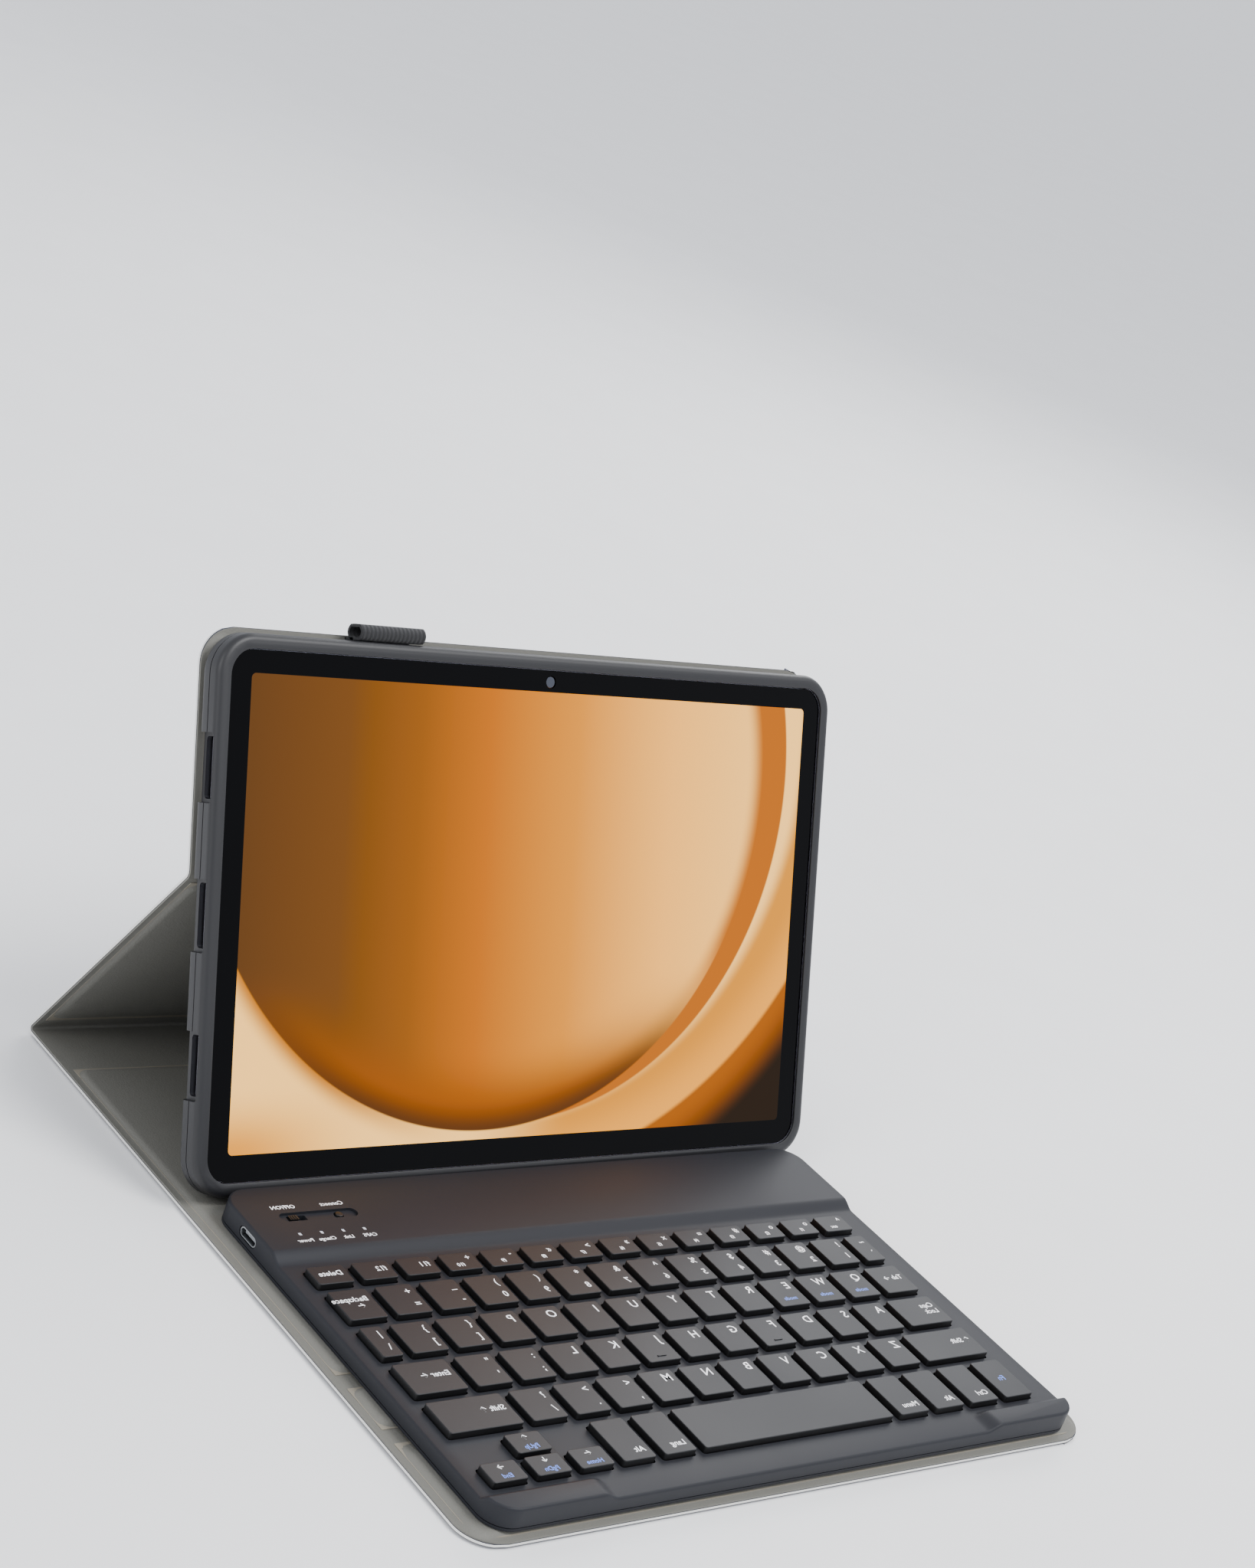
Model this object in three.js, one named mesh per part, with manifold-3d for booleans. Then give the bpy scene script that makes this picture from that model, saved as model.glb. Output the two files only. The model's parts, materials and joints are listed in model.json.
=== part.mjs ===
// A tablet keyboard case, standing open: a folding leather cover, the soft tray that holds the
// tablet against its back, and the wireless keyboard that lies on its front.
// Millimetres, +Z up, +Y to the rear. The origin is on the table, in the middle of the case.
import * as THREE from "three";
import { mergeVertices } from "three/addons/utils/BufferGeometryUtils.js";
import Module from "manifold-3d";

const wasm = await Module();
wasm.setup();

// General
const gap = 0.3; // between pieces that touch on the real object
const roundSteps = 5; // straight steps in a quarter turn

// Cover: outer leather, stiff board and lining, in panels from the flap at the front to the back
const coverWidth = 261;
const leatherThickness = 0.8;
const boardThickness = 1.0;
const liningThickness = 0.6;
const flapLength = 49.1;
const flapSpineLength = 25.6;
const frontPanelLength = 170.7;
const rearSpineLength = 24.5;
const upperBackOverhang = 1.6; // of the upper back past the tray's top edge
const coverCornerRadius = 12;
const boardMargin = 2.5; // board short of a free edge
const liningMargin = 1; // lining short of a free edge
const foldGap = 0.3; // leather short of a fold line
const inwardFoldEase = 3.2; // board and lining short of a fold that closes inwards
const outwardFoldEase = 0.6; // leather short of a fold that closes outwards
const rearFoldBoardEase = 8; // lower back board short of the rear fold
const rearFoldLiningEase = 5; // lower back lining short of the rear fold
const rearSpineLiningEase = 1.2; // rear spine lining short of the rear fold
const magnetBarLength = 120;
const magnetBarWidth = 6;

// Stand
const trayTilt = THREE.MathUtils.degToRad(25); // screen leans back from upright
const standFoldHeight = 99; // from the tray's bottom edge up its back to the stand's fold

// Tablet
const tabletWidth = 254;
const tabletHeight = 165.4;
const tabletThickness = 6.4;
const tabletCornerRadius = 9;
const tabletRim = 0.6;
const glassThickness = 0.7;
const displayThickness = 1.2;
const displayMargin = 5;
const frontCameraRadius = 1.8;
const frontCameraFromTop = 4.7;
const chargeSlotLength = 8.6;
const chargeSlotWidth = 3;
const chargeSlotDepth = 6;

// Tray
const trayWall = 3.7;
const trayBack = 1.8;
const trayLipThickness = 0.7;
const trayLipOverlap = 0.65; // of the lip over the tablet's edge
const trayEdgeRounding = 2;
const sideOpeningThickness = 6;
const speakerOpeningLength = 19;
const chargeOpeningLength = 20;
const sideOpeningFromTabletBack = 0.3;
const lowerSpeakerHeight = 41; // centre of each side opening above the tray's bottom edge
const chargeOpeningHeight = 87;
const upperSpeakerHeight = 132;

// Pencil loop
const loopLength = 25;
const loopDepth = 8;
const loopHeight = 5.1;
const loopWall = 0.9;
const loopCentreX = -65;
const loopTailLength = 12;

// Keyboard housing
const keyboardCentreX = -0.6;
const keyboardFrontInset = 2.4; // from the cover's front edge
const keyboardCornerRadius = 9;
const keyboardWall = 1.4;
const bottomShellThickness = 0.9;
const deckHeight = 5.5; // deck's top above the keyboard's underside
const deckThickness = 1.0;
const humpHeight = 7.8;
const humpDepth = 32;
const coveLength = 6;
const padWidth = 45;
const padDepth = 10;
const trayToKeyboard = 0.7;

// Keys
const keyHeight = 7.6; // key tops above the keyboard's underside
const keyTravel = 1.4;
const keySpacing = 3.5;
const keyRowSpacing = 3.8;
const keyWidth = 13.3;
const keyDepth = 14.2;
const functionKeyDepth = 8.6;
const frontKeyDepth = 18.6;
const arrowKeyWidth = 12.6;
const frontEndKeyWidth = 13.1;
const arrowKeySpacing = 1.8;
const keyCornerRadius = 0.8;
const keyClearance = 0.4;
const keyFlange = 0.75;
const keyCarrierThickness = 0.6;
const keyFieldLeftMargin = 6.5;
const keyFieldRightMargin = 11.9;
const keyFieldFrontMargin = 12.1;
const keyFieldRearMargin = 3.9;
const backspaceWidth = 13.8;
const narrowKeyWidth = 8.9; // at the number row's right end
const backslashWidth = 7.6;
const enterWidth = 19.2;
const leftShiftWidth = 27.1;

// Inside the keyboard
const supportPlateThickness = 0.3;
const membraneThickness = 0.2;
const circuitBoardThickness = 1.0;
const circuitBoardLength = 52;
const batteryThickness = 4.6;
const batteryLength = 160;
const batteryDepth = 17;
const magnetThickness = 3;
const socketLength = 7;
const socketWidth = 8.9;
const socketHeight = 3.2;
const socketWall = 0.4;
const socketFromRear = 20;

// Controls on the hump
const slotLength = 29;
const slotWidth = 4.4;
const slotDepth = 0.9;
const slotFromLeft = 12.7;
const slotFromRear = 16.7;
const sliderLength = 3.2;
const sliderWidth = 2.2;
const sliderTravel = 3;
const sliderFromSlotEnd = 5.1;
const connectButtonRadius = 1.3;
const connectFromSlotEnd = 22.3;
const controlClearance = 0.4;
const controlFlange = 1;
const lightCount = 4;
const lightPitch = 8.07;
const lightLength = 3;
const lightWidth = 1.4;
const lightsFromRear = 25.5;
const firstLightFromLeft = 14.7;

// Worked out from the sizes above
const coverThickness = leatherThickness + gap + boardThickness + gap + liningThickness;
const coverLength = flapLength + flapSpineLength + frontPanelLength + rearSpineLength;
const trayWidth = tabletWidth + 2 * (gap + trayWall);
const trayHeight = tabletHeight + 2 * (gap + trayWall);
const upperBackLength = trayHeight + upperBackOverhang - standFoldHeight;
const trayFront = gap + trayLipThickness; // in front of the glass
const trayRear = tabletThickness + gap + trayBack; // behind the glass
const tiltSine = Math.sin(trayTilt);
const tiltCosine = Math.cos(trayTilt);

const letterRowCount = 4;
const wideRowKeyCount = 12; // keys of the usual width in the number row and the row below it
const keyFieldWidth =
  backspaceWidth + wideRowKeyCount * keyWidth + (wideRowKeyCount + 1) * keySpacing + narrowKeyWidth;
const keyFieldDepth =
  frontKeyDepth + letterRowCount * keyDepth + functionKeyDepth + (letterRowCount + 1) * keyRowSpacing;
const keyboardWidth = keyFieldLeftMargin + keyFieldWidth + keyFieldRightMargin;
const keyboardDepth =
  keyFieldFrontMargin + keyFieldDepth + keyFieldRearMargin + coveLength + humpDepth;

// Distances from the cover's front edge, before the case is centred on its origin
const keyboardRearDistance = keyboardFrontInset + keyboardDepth;
const trayDistance = keyboardRearDistance + trayToKeyboard + trayFront * tiltCosine;
const trayBaseHeight =
  coverThickness + gap + trayRear * tiltSine - trayEdgeRounding * (tiltSine + tiltCosine - 1);
const foldBehindGlass = trayRear + gap + coverThickness - leatherThickness;
const standFoldDistance = trayDistance + standFoldHeight * tiltSine + foldBehindGlass * tiltCosine;
const standFoldZ = trayBaseHeight + standFoldHeight * tiltCosine - foldBehindGlass * tiltSine;
const lowerBackRise = standFoldZ - leatherThickness;
const lowerBackReach = standFoldDistance - coverLength;
const lowerBackLean = Math.atan2(lowerBackRise, lowerBackReach);
const lowerBackLength = Math.hypot(lowerBackRise, lowerBackReach);
const rearOverhang = leatherThickness * Math.sin(lowerBackLean) + foldGap * Math.cos(lowerBackLean);

const frontEdgeY = -(coverLength + rearOverhang) / 2;
const flapFoldY = frontEdgeY + flapLength;
const flapSpineFoldY = flapFoldY + flapSpineLength;
const rearSpineY = flapSpineFoldY + frontPanelLength;
const rearFoldY = rearSpineY + rearSpineLength;
const trayY = frontEdgeY + trayDistance;

const keyboardLeft = keyboardCentreX - keyboardWidth / 2;
const keyboardRight = keyboardCentreX + keyboardWidth / 2;
const keyboardFront = frontEdgeY + keyboardFrontInset;
const keyboardRear = keyboardFront + keyboardDepth;
const keyboardUnderside = coverThickness + gap;
const shellSeamZ = keyboardUnderside + bottomShellThickness + gap;
const deckZ = keyboardUnderside + deckHeight;
const deckUndersideZ = deckZ - deckThickness;
const humpZ = keyboardUnderside + humpHeight;
const humpUndersideZ = humpZ - keyboardWall;
const keyTopZ = keyboardUnderside + keyHeight;
const carrierTopZ = deckUndersideZ - gap;
const humpFrontY = keyboardRear - humpDepth;
const insideRear = keyboardRear - keyboardWall - gap;
const insideLeft = keyboardLeft + keyboardWall + gap;
const insideRight = keyboardRight - keyboardWall - gap;

// A flat outline whose corner radii run front left, front right, rear right, rear left.
function flatOutline(left, right, front, rear, radii = [0, 0, 0, 0]) {
  const shape = new THREE.Shape();
  const corners = [
    [left, front, 1, 1],
    [right, front, -1, 1],
    [right, rear, -1, -1],
    [left, rear, 1, -1],
  ];
  corners.forEach(([x, y, inwardX, inwardY], index) => {
    const radius = radii[index];
    const startAngle = Math.PI + (index * Math.PI) / 2;
    if (radius > 0) {
      const centreX = x + inwardX * radius;
      const centreY = y + inwardY * radius;
      shape.absarc(centreX, centreY, radius, startAngle, startAngle + Math.PI / 2);
    } else if (index === 0) shape.moveTo(x, y);
    else shape.lineTo(x, y);
  });
  return shape;
}

function evenOutline(left, right, front, rear, radius) {
  return flatOutline(left, right, front, rear, [radius, radius, radius, radius]);
}

// A closed geometry as a solid that can be joined and cut.
function solidOf(geometry) {
  geometry.deleteAttribute("normal");
  geometry.deleteAttribute("uv");
  const merged = mergeVertices(geometry, 1e-4);
  const mesh = new wasm.Mesh({
    numProp: 3,
    vertProperties: merged.attributes.position.array,
    triVerts: new Uint32Array(merged.index.array),
  });
  return new wasm.Manifold(mesh);
}

function prism(shape, bottom, top, curveSegments = roundSteps) {
  const depth = top - bottom;
  const geometry = new THREE.ExtrudeGeometry(shape, { depth, bevelEnabled: false, curveSegments });
  return solidOf(geometry.translate(0, 0, bottom));
}

function box(left, right, front, rear, bottom, top) {
  const geometry = new THREE.BoxGeometry(right - left, rear - front, top - bottom);
  return solidOf(geometry.translate((left + right) / 2, (front + rear) / 2, (bottom + top) / 2));
}

// An upright round pin.
function pin(x, y, radius, bottom, top) {
  const geometry = new THREE.CylinderGeometry(radius, radius, top - bottom, 20);
  return solidOf(geometry.rotateX(Math.PI / 2).translate(x, y, (bottom + top) / 2));
}

// A bar along X whose side view is drawn in Y and Z.
function barAlongX(sideShape, left, right) {
  const options = { depth: right - left, bevelEnabled: false, curveSegments: roundSteps };
  const geometry = new THREE.ExtrudeGeometry(sideShape, options);
  geometry.rotateX(Math.PI / 2).rotateZ(Math.PI / 2);
  return solidOf(geometry.translate(left, 0, 0));
}

function finish(color, roughness, metalness = 0) {
  return { color, roughness, metalness };
}

const leather = finish(0x1f2a45, 0.6);
const board = finish(0x8a8578, 0.9);
const lining = finish(0x5f5f58, 0.85);
const darkRubber = finish(0x2b2b30, 0.65);
const elastic = finish(0x17171a, 0.95);
const plastic = finish(0x3c3c42, 0.45);
const keyPlastic = finish(0x232327, 0.5);
const sheetSteel = finish(0x9c9fa3, 0.35, 1);
const magnet = finish(0x6d6f72, 0.3, 1);
const tabletMetal = finish(0x8b8c99, 0.35, 1);
const glass = finish(0x0a0a0c, 0.05);
const display = finish(0xe08a2c, 0.3);
const circuit = finish(0x1d5a35, 0.6);
const cell = finish(0xa9adb3, 0.4, 0.6);
const lightPlastic = finish(0xc9ccd4, 0.3);

// A named piece of the object with a material of its own.
function piece(name, solid, look) {
  const { vertProperties, triVerts } = solid.getMesh();
  const geometry = new THREE.BufferGeometry();
  geometry.setAttribute("position", new THREE.BufferAttribute(vertProperties, 3));
  geometry.setIndex(new THREE.BufferAttribute(triVerts, 1));
  geometry.computeVertexNormals();
  const mesh = new THREE.Mesh(geometry, new THREE.MeshStandardMaterial(look));
  mesh.name = name;
  return mesh;
}

// How far each layer stops short of a panel's edge.
const freeEdge = { leather: 0, board: boardMargin, lining: liningMargin };
const inwardFold = { leather: foldGap, board: inwardFoldEase, lining: inwardFoldEase };
const outwardFold = { leather: outwardFoldEase, board: inwardFoldEase, lining: outwardFoldEase };
const standingFold = { leather: foldGap, board: rearFoldBoardEase, lining: rearFoldLiningEase };
const lyingFold = { leather: foldGap, board: inwardFoldEase, lining: rearSpineLiningEase };
const flatSeam = { leather: foldGap, board: inwardFoldEase, lining: foldGap };

const boardBottom = gap;
const boardTop = boardBottom + boardThickness;
const liningBottom = boardTop + gap;
const liningTop = liningBottom + liningThickness;

// One layer of a panel. The panel's own frame has its first fold line on X and its inner side up.
function layer(length, start, end, name, bottom, top, frontRadius = 0, rearRadius = 0) {
  const halfWidth = coverWidth / 2 - freeEdge[name];
  const front = start[name];
  const rear = length - end[name];
  const frontCorner = Math.max(frontRadius - freeEdge[name], 0);
  const rearCorner = Math.max(rearRadius - freeEdge[name], 0);
  const radii = [frontCorner, frontCorner, rearCorner, rearCorner];
  return prism(flatOutline(-halfWidth, halfWidth, front, rear, radii), bottom, top);
}

function panelLeather(length, start, end, frontRadius, rearRadius) {
  return layer(length, start, end, "leather", -leatherThickness, 0, frontRadius, rearRadius);
}

function panelBoard(length, start, end, frontRadius, rearRadius) {
  return layer(length, start, end, "board", boardBottom, boardTop, frontRadius, rearRadius);
}

function panelLining(length, start, end, frontRadius, rearRadius) {
  return layer(length, start, end, "lining", liningBottom, liningTop, frontRadius, rearRadius);
}

function magnetBar(centreY, margin = 0) {
  const halfLength = magnetBarLength / 2 + margin;
  const halfWidth = magnetBarWidth / 2 + margin;
  return box(-halfLength, halfLength, centreY - halfWidth, centreY + halfWidth, boardBottom, boardTop);
}

function flatPanelGroup(y) {
  const group = new THREE.Group();
  group.position.set(0, y, leatherThickness);
  return group;
}

function flap() {
  const group = flatPanelGroup(frontEdgeY);
  const magnetY = flapLength / 4;
  const edges = [flapLength, freeEdge, inwardFold, coverCornerRadius, 0];
  const boardSolid = panelBoard(...edges).subtract(magnetBar(magnetY, gap));
  group.add(piece("flap_leather", panelLeather(...edges), leather));
  group.add(piece("flap_board", boardSolid, board));
  group.add(piece("flap_magnet_bar", magnetBar(magnetY), magnet));
  group.add(piece("flap_lining", panelLining(...edges), lining));
  return group;
}

function flapSpine() {
  const group = flatPanelGroup(flapFoldY);
  const edges = [flapSpineLength, inwardFold, inwardFold];
  group.add(piece("flap_spine_leather", panelLeather(...edges), leather));
  group.add(piece("flap_spine_board", panelBoard(...edges), board));
  group.add(piece("flap_spine_lining", panelLining(...edges), lining));
  return group;
}

const keyboardMagnetY = insideRear - gap - magnetBarWidth / 2;

function frontPanel() {
  const group = flatPanelGroup(flapSpineFoldY);
  const magnetY = keyboardMagnetY - flapSpineFoldY;
  const edges = [frontPanelLength, inwardFold, flatSeam];
  const boardSolid = panelBoard(...edges).subtract(magnetBar(magnetY, gap));
  group.add(piece("front_panel_leather", panelLeather(...edges), leather));
  group.add(piece("front_panel_board", boardSolid, board));
  group.add(piece("front_panel_magnet_bar", magnetBar(magnetY), magnet));
  group.add(piece("front_panel_lining", panelLining(...edges), lining));
  return group;
}

// The rear spine has no board, so its lining lies low, straight on the leather.
function rearSpine() {
  const group = flatPanelGroup(rearSpineY);
  const edges = [rearSpineLength, flatSeam, lyingFold];
  const lowLining = layer(...edges, "lining", gap, gap + liningThickness);
  group.add(piece("rear_spine_leather", panelLeather(...edges), leather));
  group.add(piece("rear_spine_lining", lowLining, lining));
  return group;
}

function lowerBack() {
  const group = flatPanelGroup(rearFoldY);
  group.rotation.x = lowerBackLean;
  const edges = [lowerBackLength, standingFold, outwardFold];
  group.add(piece("lower_back_leather", panelLeather(...edges), leather));
  group.add(piece("lower_back_board", panelBoard(...edges), board));
  group.add(piece("lower_back_lining", panelLining(...edges), lining));
  return group;
}

// The upper back is fixed to the tray, and its lining is notched for the pencil loop's tail.
function upperBack() {
  const group = new THREE.Group();
  group.position.set(0, standFoldHeight, -foldBehindGlass);
  const edges = [upperBackLength, outwardFold, freeEdge, 0, coverCornerRadius];
  const notchFront = trayHeight - standFoldHeight - loopTailLength - gap;
  const halfNotch = loopLength / 2 + gap;
  const notch = box(
    loopCentreX - halfNotch,
    loopCentreX + halfNotch,
    notchFront,
    upperBackLength,
    boardTop + gap / 2,
    liningTop + gap,
  );
  group.add(piece("upper_back_leather", panelLeather(...edges), leather));
  group.add(piece("upper_back_board", panelBoard(...edges), board));
  group.add(piece("upper_back_lining", panelLining(...edges).subtract(notch), lining));
  return group;
}

// The tray's frame: X along the screen, Y up it and Z out of the glass, from its bottom edge.
function trayOutline(margin) {
  const halfWidth = tabletWidth / 2 + margin;
  const bottom = gap + trayWall - margin;
  const top = trayHeight - bottom;
  return evenOutline(-halfWidth, halfWidth, bottom, top, tabletCornerRadius + margin);
}

function sideOpening(side, height, length) {
  const outer = trayWidth / 2 + 1;
  const inner = tabletWidth / 2 - 1;
  const rear = -tabletThickness - gap - sideOpeningFromTabletBack;
  const left = side < 0 ? -outer : inner;
  const right = side < 0 ? -inner : outer;
  return box(left, right, height - length / 2, height + length / 2, rear, rear + sideOpeningThickness);
}

function tray() {
  const margin = gap + trayWall - trayEdgeRounding;
  const depth = trayRear + trayFront - 2 * trayEdgeRounding;
  const rounding = { bevelThickness: trayEdgeRounding, bevelSize: trayEdgeRounding, bevelSegments: 3 };
  const options = { depth, curveSegments: roundSteps, ...rounding };
  const block = new THREE.ExtrudeGeometry(trayOutline(margin), options);
  let solid = solidOf(block.translate(0, 0, trayEdgeRounding - trayRear));
  solid = solid.subtract(prism(trayOutline(gap), -tabletThickness - gap, gap));
  solid = solid.subtract(prism(trayOutline(-trayLipOverlap), 0, trayFront + 1));
  for (const side of [-1, 1]) {
    solid = solid.subtract(sideOpening(side, lowerSpeakerHeight, speakerOpeningLength));
    solid = solid.subtract(sideOpening(side, upperSpeakerHeight, speakerOpeningLength));
  }
  solid = solid.subtract(sideOpening(-1, chargeOpeningHeight, chargeOpeningLength));
  return piece("tray", solid, darkRubber);
}

function chargeSlot() {
  const middle = -tabletThickness / 2;
  const halfLength = chargeSlotLength / 2;
  const radius = chargeSlotWidth / 2;
  const shape = evenOutline(
    chargeOpeningHeight - halfLength,
    chargeOpeningHeight + halfLength,
    middle - radius,
    middle + radius,
    radius - 0.01,
  );
  const left = -tabletWidth / 2;
  return barAlongX(shape, left - 1, left + chargeSlotDepth);
}

function tabletPieces() {
  const glassRear = -glassThickness;
  const displayFront = glassRear - gap;
  const displayRear = displayFront - displayThickness;
  const cameraY = gap + trayWall + tabletHeight - frontCameraFromTop;
  const pocket = prism(trayOutline(-tabletRim), displayRear - gap, 1);
  const bodySolid = prism(trayOutline(0), -tabletThickness, 0).subtract(pocket).subtract(chargeSlot());
  const glassOutline = trayOutline(-tabletRim - gap);
  const cameraHole = pin(0, cameraY, frontCameraRadius + gap, glassRear - 1, 1);
  const glassSolid = prism(glassOutline, glassRear, 0).subtract(cameraHole);
  const displaySolid = prism(trayOutline(-displayMargin - trayWall), displayRear, displayFront);
  const cameraSolid = pin(0, cameraY, frontCameraRadius, displayRear, glassRear + glassThickness / 2);
  return [
    piece("tablet_body", bodySolid, tabletMetal),
    piece("tablet_glass", glassSolid, glass),
    piece("tablet_display", displaySolid, display),
    piece("tablet_front_camera", cameraSolid, finish(0x101318, 0.1)),
  ];
}

// A flattened ring of elastic on the tray's top edge, with a tail glued in under the lining.
function pencilLoop() {
  const tailRear = -trayRear - gap - liningThickness;
  const bottom = trayHeight + gap;
  const top = bottom + loopHeight;
  const ringRear = -trayRear;
  const ringFront = ringRear + loopDepth;
  const radius = loopHeight / 2 - 0.01;
  const left = loopCentreX - loopLength / 2;
  const right = loopCentreX + loopLength / 2;
  const hole = evenOutline(
    bottom + loopWall,
    top - loopWall,
    ringRear + loopWall,
    ringFront - loopWall,
    radius - loopWall,
  );
  const ring = barAlongX(evenOutline(bottom, top, ringRear, ringFront, radius), left, right);
  const bridgeTop = bottom + loopWall;
  const bridge = box(left, right, bottom, bridgeTop, tailRear, ringRear + loopHeight / 2);
  const tail = box(left, right, trayHeight - loopTailLength, bridgeTop, tailRear, -trayRear - gap);
  const outside = ring.add(bridge).add(tail);
  return piece("pencil_loop", outside.subtract(barAlongX(hole, left - 1, right + 1)), elastic);
}

function standTop() {
  const group = new THREE.Group();
  group.position.set(0, trayY, trayBaseHeight);
  group.rotation.x = Math.PI / 2 - trayTilt;
  group.add(upperBack(), tray(), pencilLoop(), ...tabletPieces());
  return group;
}

const keyFieldLeft = keyboardLeft + keyFieldLeftMargin;
const keyFieldFront = keyboardFront + keyFieldFrontMargin;

function sameKeys(count, width = keyWidth) {
  return Array(count).fill(width);
}

const functionKeyCount = 14;
const functionKeyWidth = (keyFieldWidth + keySpacing) / functionKeyCount - keySpacing;
const rest = "takes the width that the row's other keys leave";

// Rows from the front. Widths and groups run from left to right, and each group moves as one.
const keyRows = [
  {
    depth: frontKeyDepth,
    widths: [...sameKeys(5, arrowKeyWidth), rest, ...sameKeys(4, frontEndKeyWidth)],
    groups: [["arrows", 3], ["inner_modifier_keys", 2], ["space_key", 1], ["outer_modifier_keys", 4]],
  },
  {
    depth: keyDepth,
    widths: [leftShiftWidth, ...sameKeys(10), rest],
    groups: [["left_shift_key", 1], ["lower_letter_row", 10], ["right_shift_key", 1]],
  },
  {
    depth: keyDepth,
    widths: [enterWidth, ...sameKeys(11), rest],
    groups: [["enter_key", 1], ["home_letter_row", 11], ["caps_lock_key", 1]],
  },
  {
    depth: keyDepth,
    widths: [backslashWidth, ...sameKeys(wideRowKeyCount), rest],
    groups: [["upper_letter_row", wideRowKeyCount + 1], ["tab_key", 1]],
  },
  {
    depth: keyDepth,
    widths: [backspaceWidth, ...sameKeys(wideRowKeyCount), rest],
    groups: [["backspace_key", 1], ["number_key_row", wideRowKeyCount + 1]],
  },
  {
    depth: functionKeyDepth,
    widths: sameKeys(functionKeyCount, functionKeyWidth),
    groups: [["function_key_row", functionKeyCount]],
  },
];

// The four half-depth arrow keys share the first three places of the front row.
function arrowGroups(places) {
  const [leftPlace, middlePlace, rightPlace] = places;
  const depth = (frontKeyDepth - arrowKeySpacing) / 2;
  const upperFront = middlePlace.rear - depth;
  return [
    { name: "arrow_key_left", keys: [{ ...leftPlace, rear: leftPlace.front + depth }] },
    { name: "arrow_key_down", keys: [{ ...middlePlace, rear: middlePlace.front + depth }] },
    { name: "arrow_key_up", keys: [{ ...middlePlace, front: upperFront }] },
    { name: "arrow_key_right", keys: [{ ...rightPlace, rear: rightPlace.front + depth }] },
  ];
}

function layOutKeys() {
  const laidOut = [];
  let front = keyFieldFront;
  for (const { depth, widths, groups } of keyRows) {
    const named = widths.filter((width) => width !== rest);
    const used = named.reduce((sum, width) => sum + width + keySpacing, 0);
    const rear = front + depth;
    let left = keyFieldLeft;
    const places = widths.map((width) => {
      const right = left + (width === rest ? keyFieldWidth - used : width);
      const place = { left, right, front, rear };
      left = right + keySpacing;
      return place;
    });
    for (const [name, count] of groups) {
      const keys = places.splice(0, count);
      if (name === "arrows") laidOut.push(...arrowGroups(keys));
      else laidOut.push({ name, keys });
    }
    front = rear + keyRowSpacing;
  }
  return laidOut;
}

const keyGroups = layOutKeys();
const keyFieldRear = keyGroups.at(-1).keys[0].rear;

// A key or a row of keys on one hidden carrier, which is wider than the holes in the deck.
function keyPiece({ name, keys }) {
  const first = keys[0];
  const last = keys.at(-1);
  let solid = box(
    first.left - keyFlange,
    last.right + keyFlange,
    first.front - keyFlange,
    first.rear + keyFlange,
    carrierTopZ - keyCarrierThickness,
    carrierTopZ,
  );
  for (const { left, right, front, rear } of keys) {
    const shape = evenOutline(left, right, front, rear, keyCornerRadius);
    solid = solid.add(prism(shape, carrierTopZ - keyCarrierThickness / 2, keyTopZ, 1));
  }
  return piece(name, solid, keyPlastic);
}

const slotLeft = keyboardLeft + slotFromLeft;
const slotY = keyboardRear - slotFromRear;
const slotFloorZ = humpZ - slotDepth;
const controlTopZ = humpZ - gap;
const sliderLeft = slotLeft + sliderFromSlotEnd - sliderLength / 2;
const connectX = slotLeft + connectFromSlotEnd;
const controlFlangeBottomZ = humpUndersideZ - gap - controlFlange;
const lightsY = keyboardRear - lightsFromRear;

function lightBoxes(margin, bottom, top) {
  const boxes = [];
  for (let index = 0; index < lightCount; index += 1) {
    const centreX = keyboardLeft + firstLightFromLeft + index * lightPitch;
    const halfLength = lightLength / 2 + margin;
    const halfWidth = lightWidth / 2 + margin;
    const left = centreX - halfLength;
    boxes.push(box(left, centreX + halfLength, lightsY - halfWidth, lightsY + halfWidth, bottom, top));
  }
  return boxes;
}

function keyboardOutline(inset = 0) {
  const radius = keyboardCornerRadius - inset;
  const left = keyboardLeft + inset;
  const right = keyboardRight - inset;
  return evenOutline(left, right, keyboardFront + inset, keyboardRear - inset, radius);
}

// Deck and hump from the side: the hump's front sinks to the deck in a hollow curve.
function deckSideShape() {
  const shape = new THREE.Shape();
  const coveFront = humpFrontY - coveLength;
  shape.moveTo(keyboardFront, shellSeamZ);
  shape.lineTo(keyboardRear, shellSeamZ);
  shape.lineTo(keyboardRear, humpZ);
  shape.lineTo(humpFrontY, humpZ);
  shape.quadraticCurveTo(humpFrontY - coveLength / 2, deckZ, coveFront, deckZ);
  shape.lineTo(keyboardFront, deckZ);
  return shape;
}

function socketOutline(margin) {
  const centreY = keyboardRear - socketFromRear;
  const halfWidth = socketWidth / 2 + margin;
  const bottom = shellSeamZ + circuitBoardThickness + gap - margin;
  const top = bottom + socketHeight + 2 * margin;
  return evenOutline(centreY - halfWidth, centreY + halfWidth, bottom, top, socketHeight / 2 + margin - 0.01);
}

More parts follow.
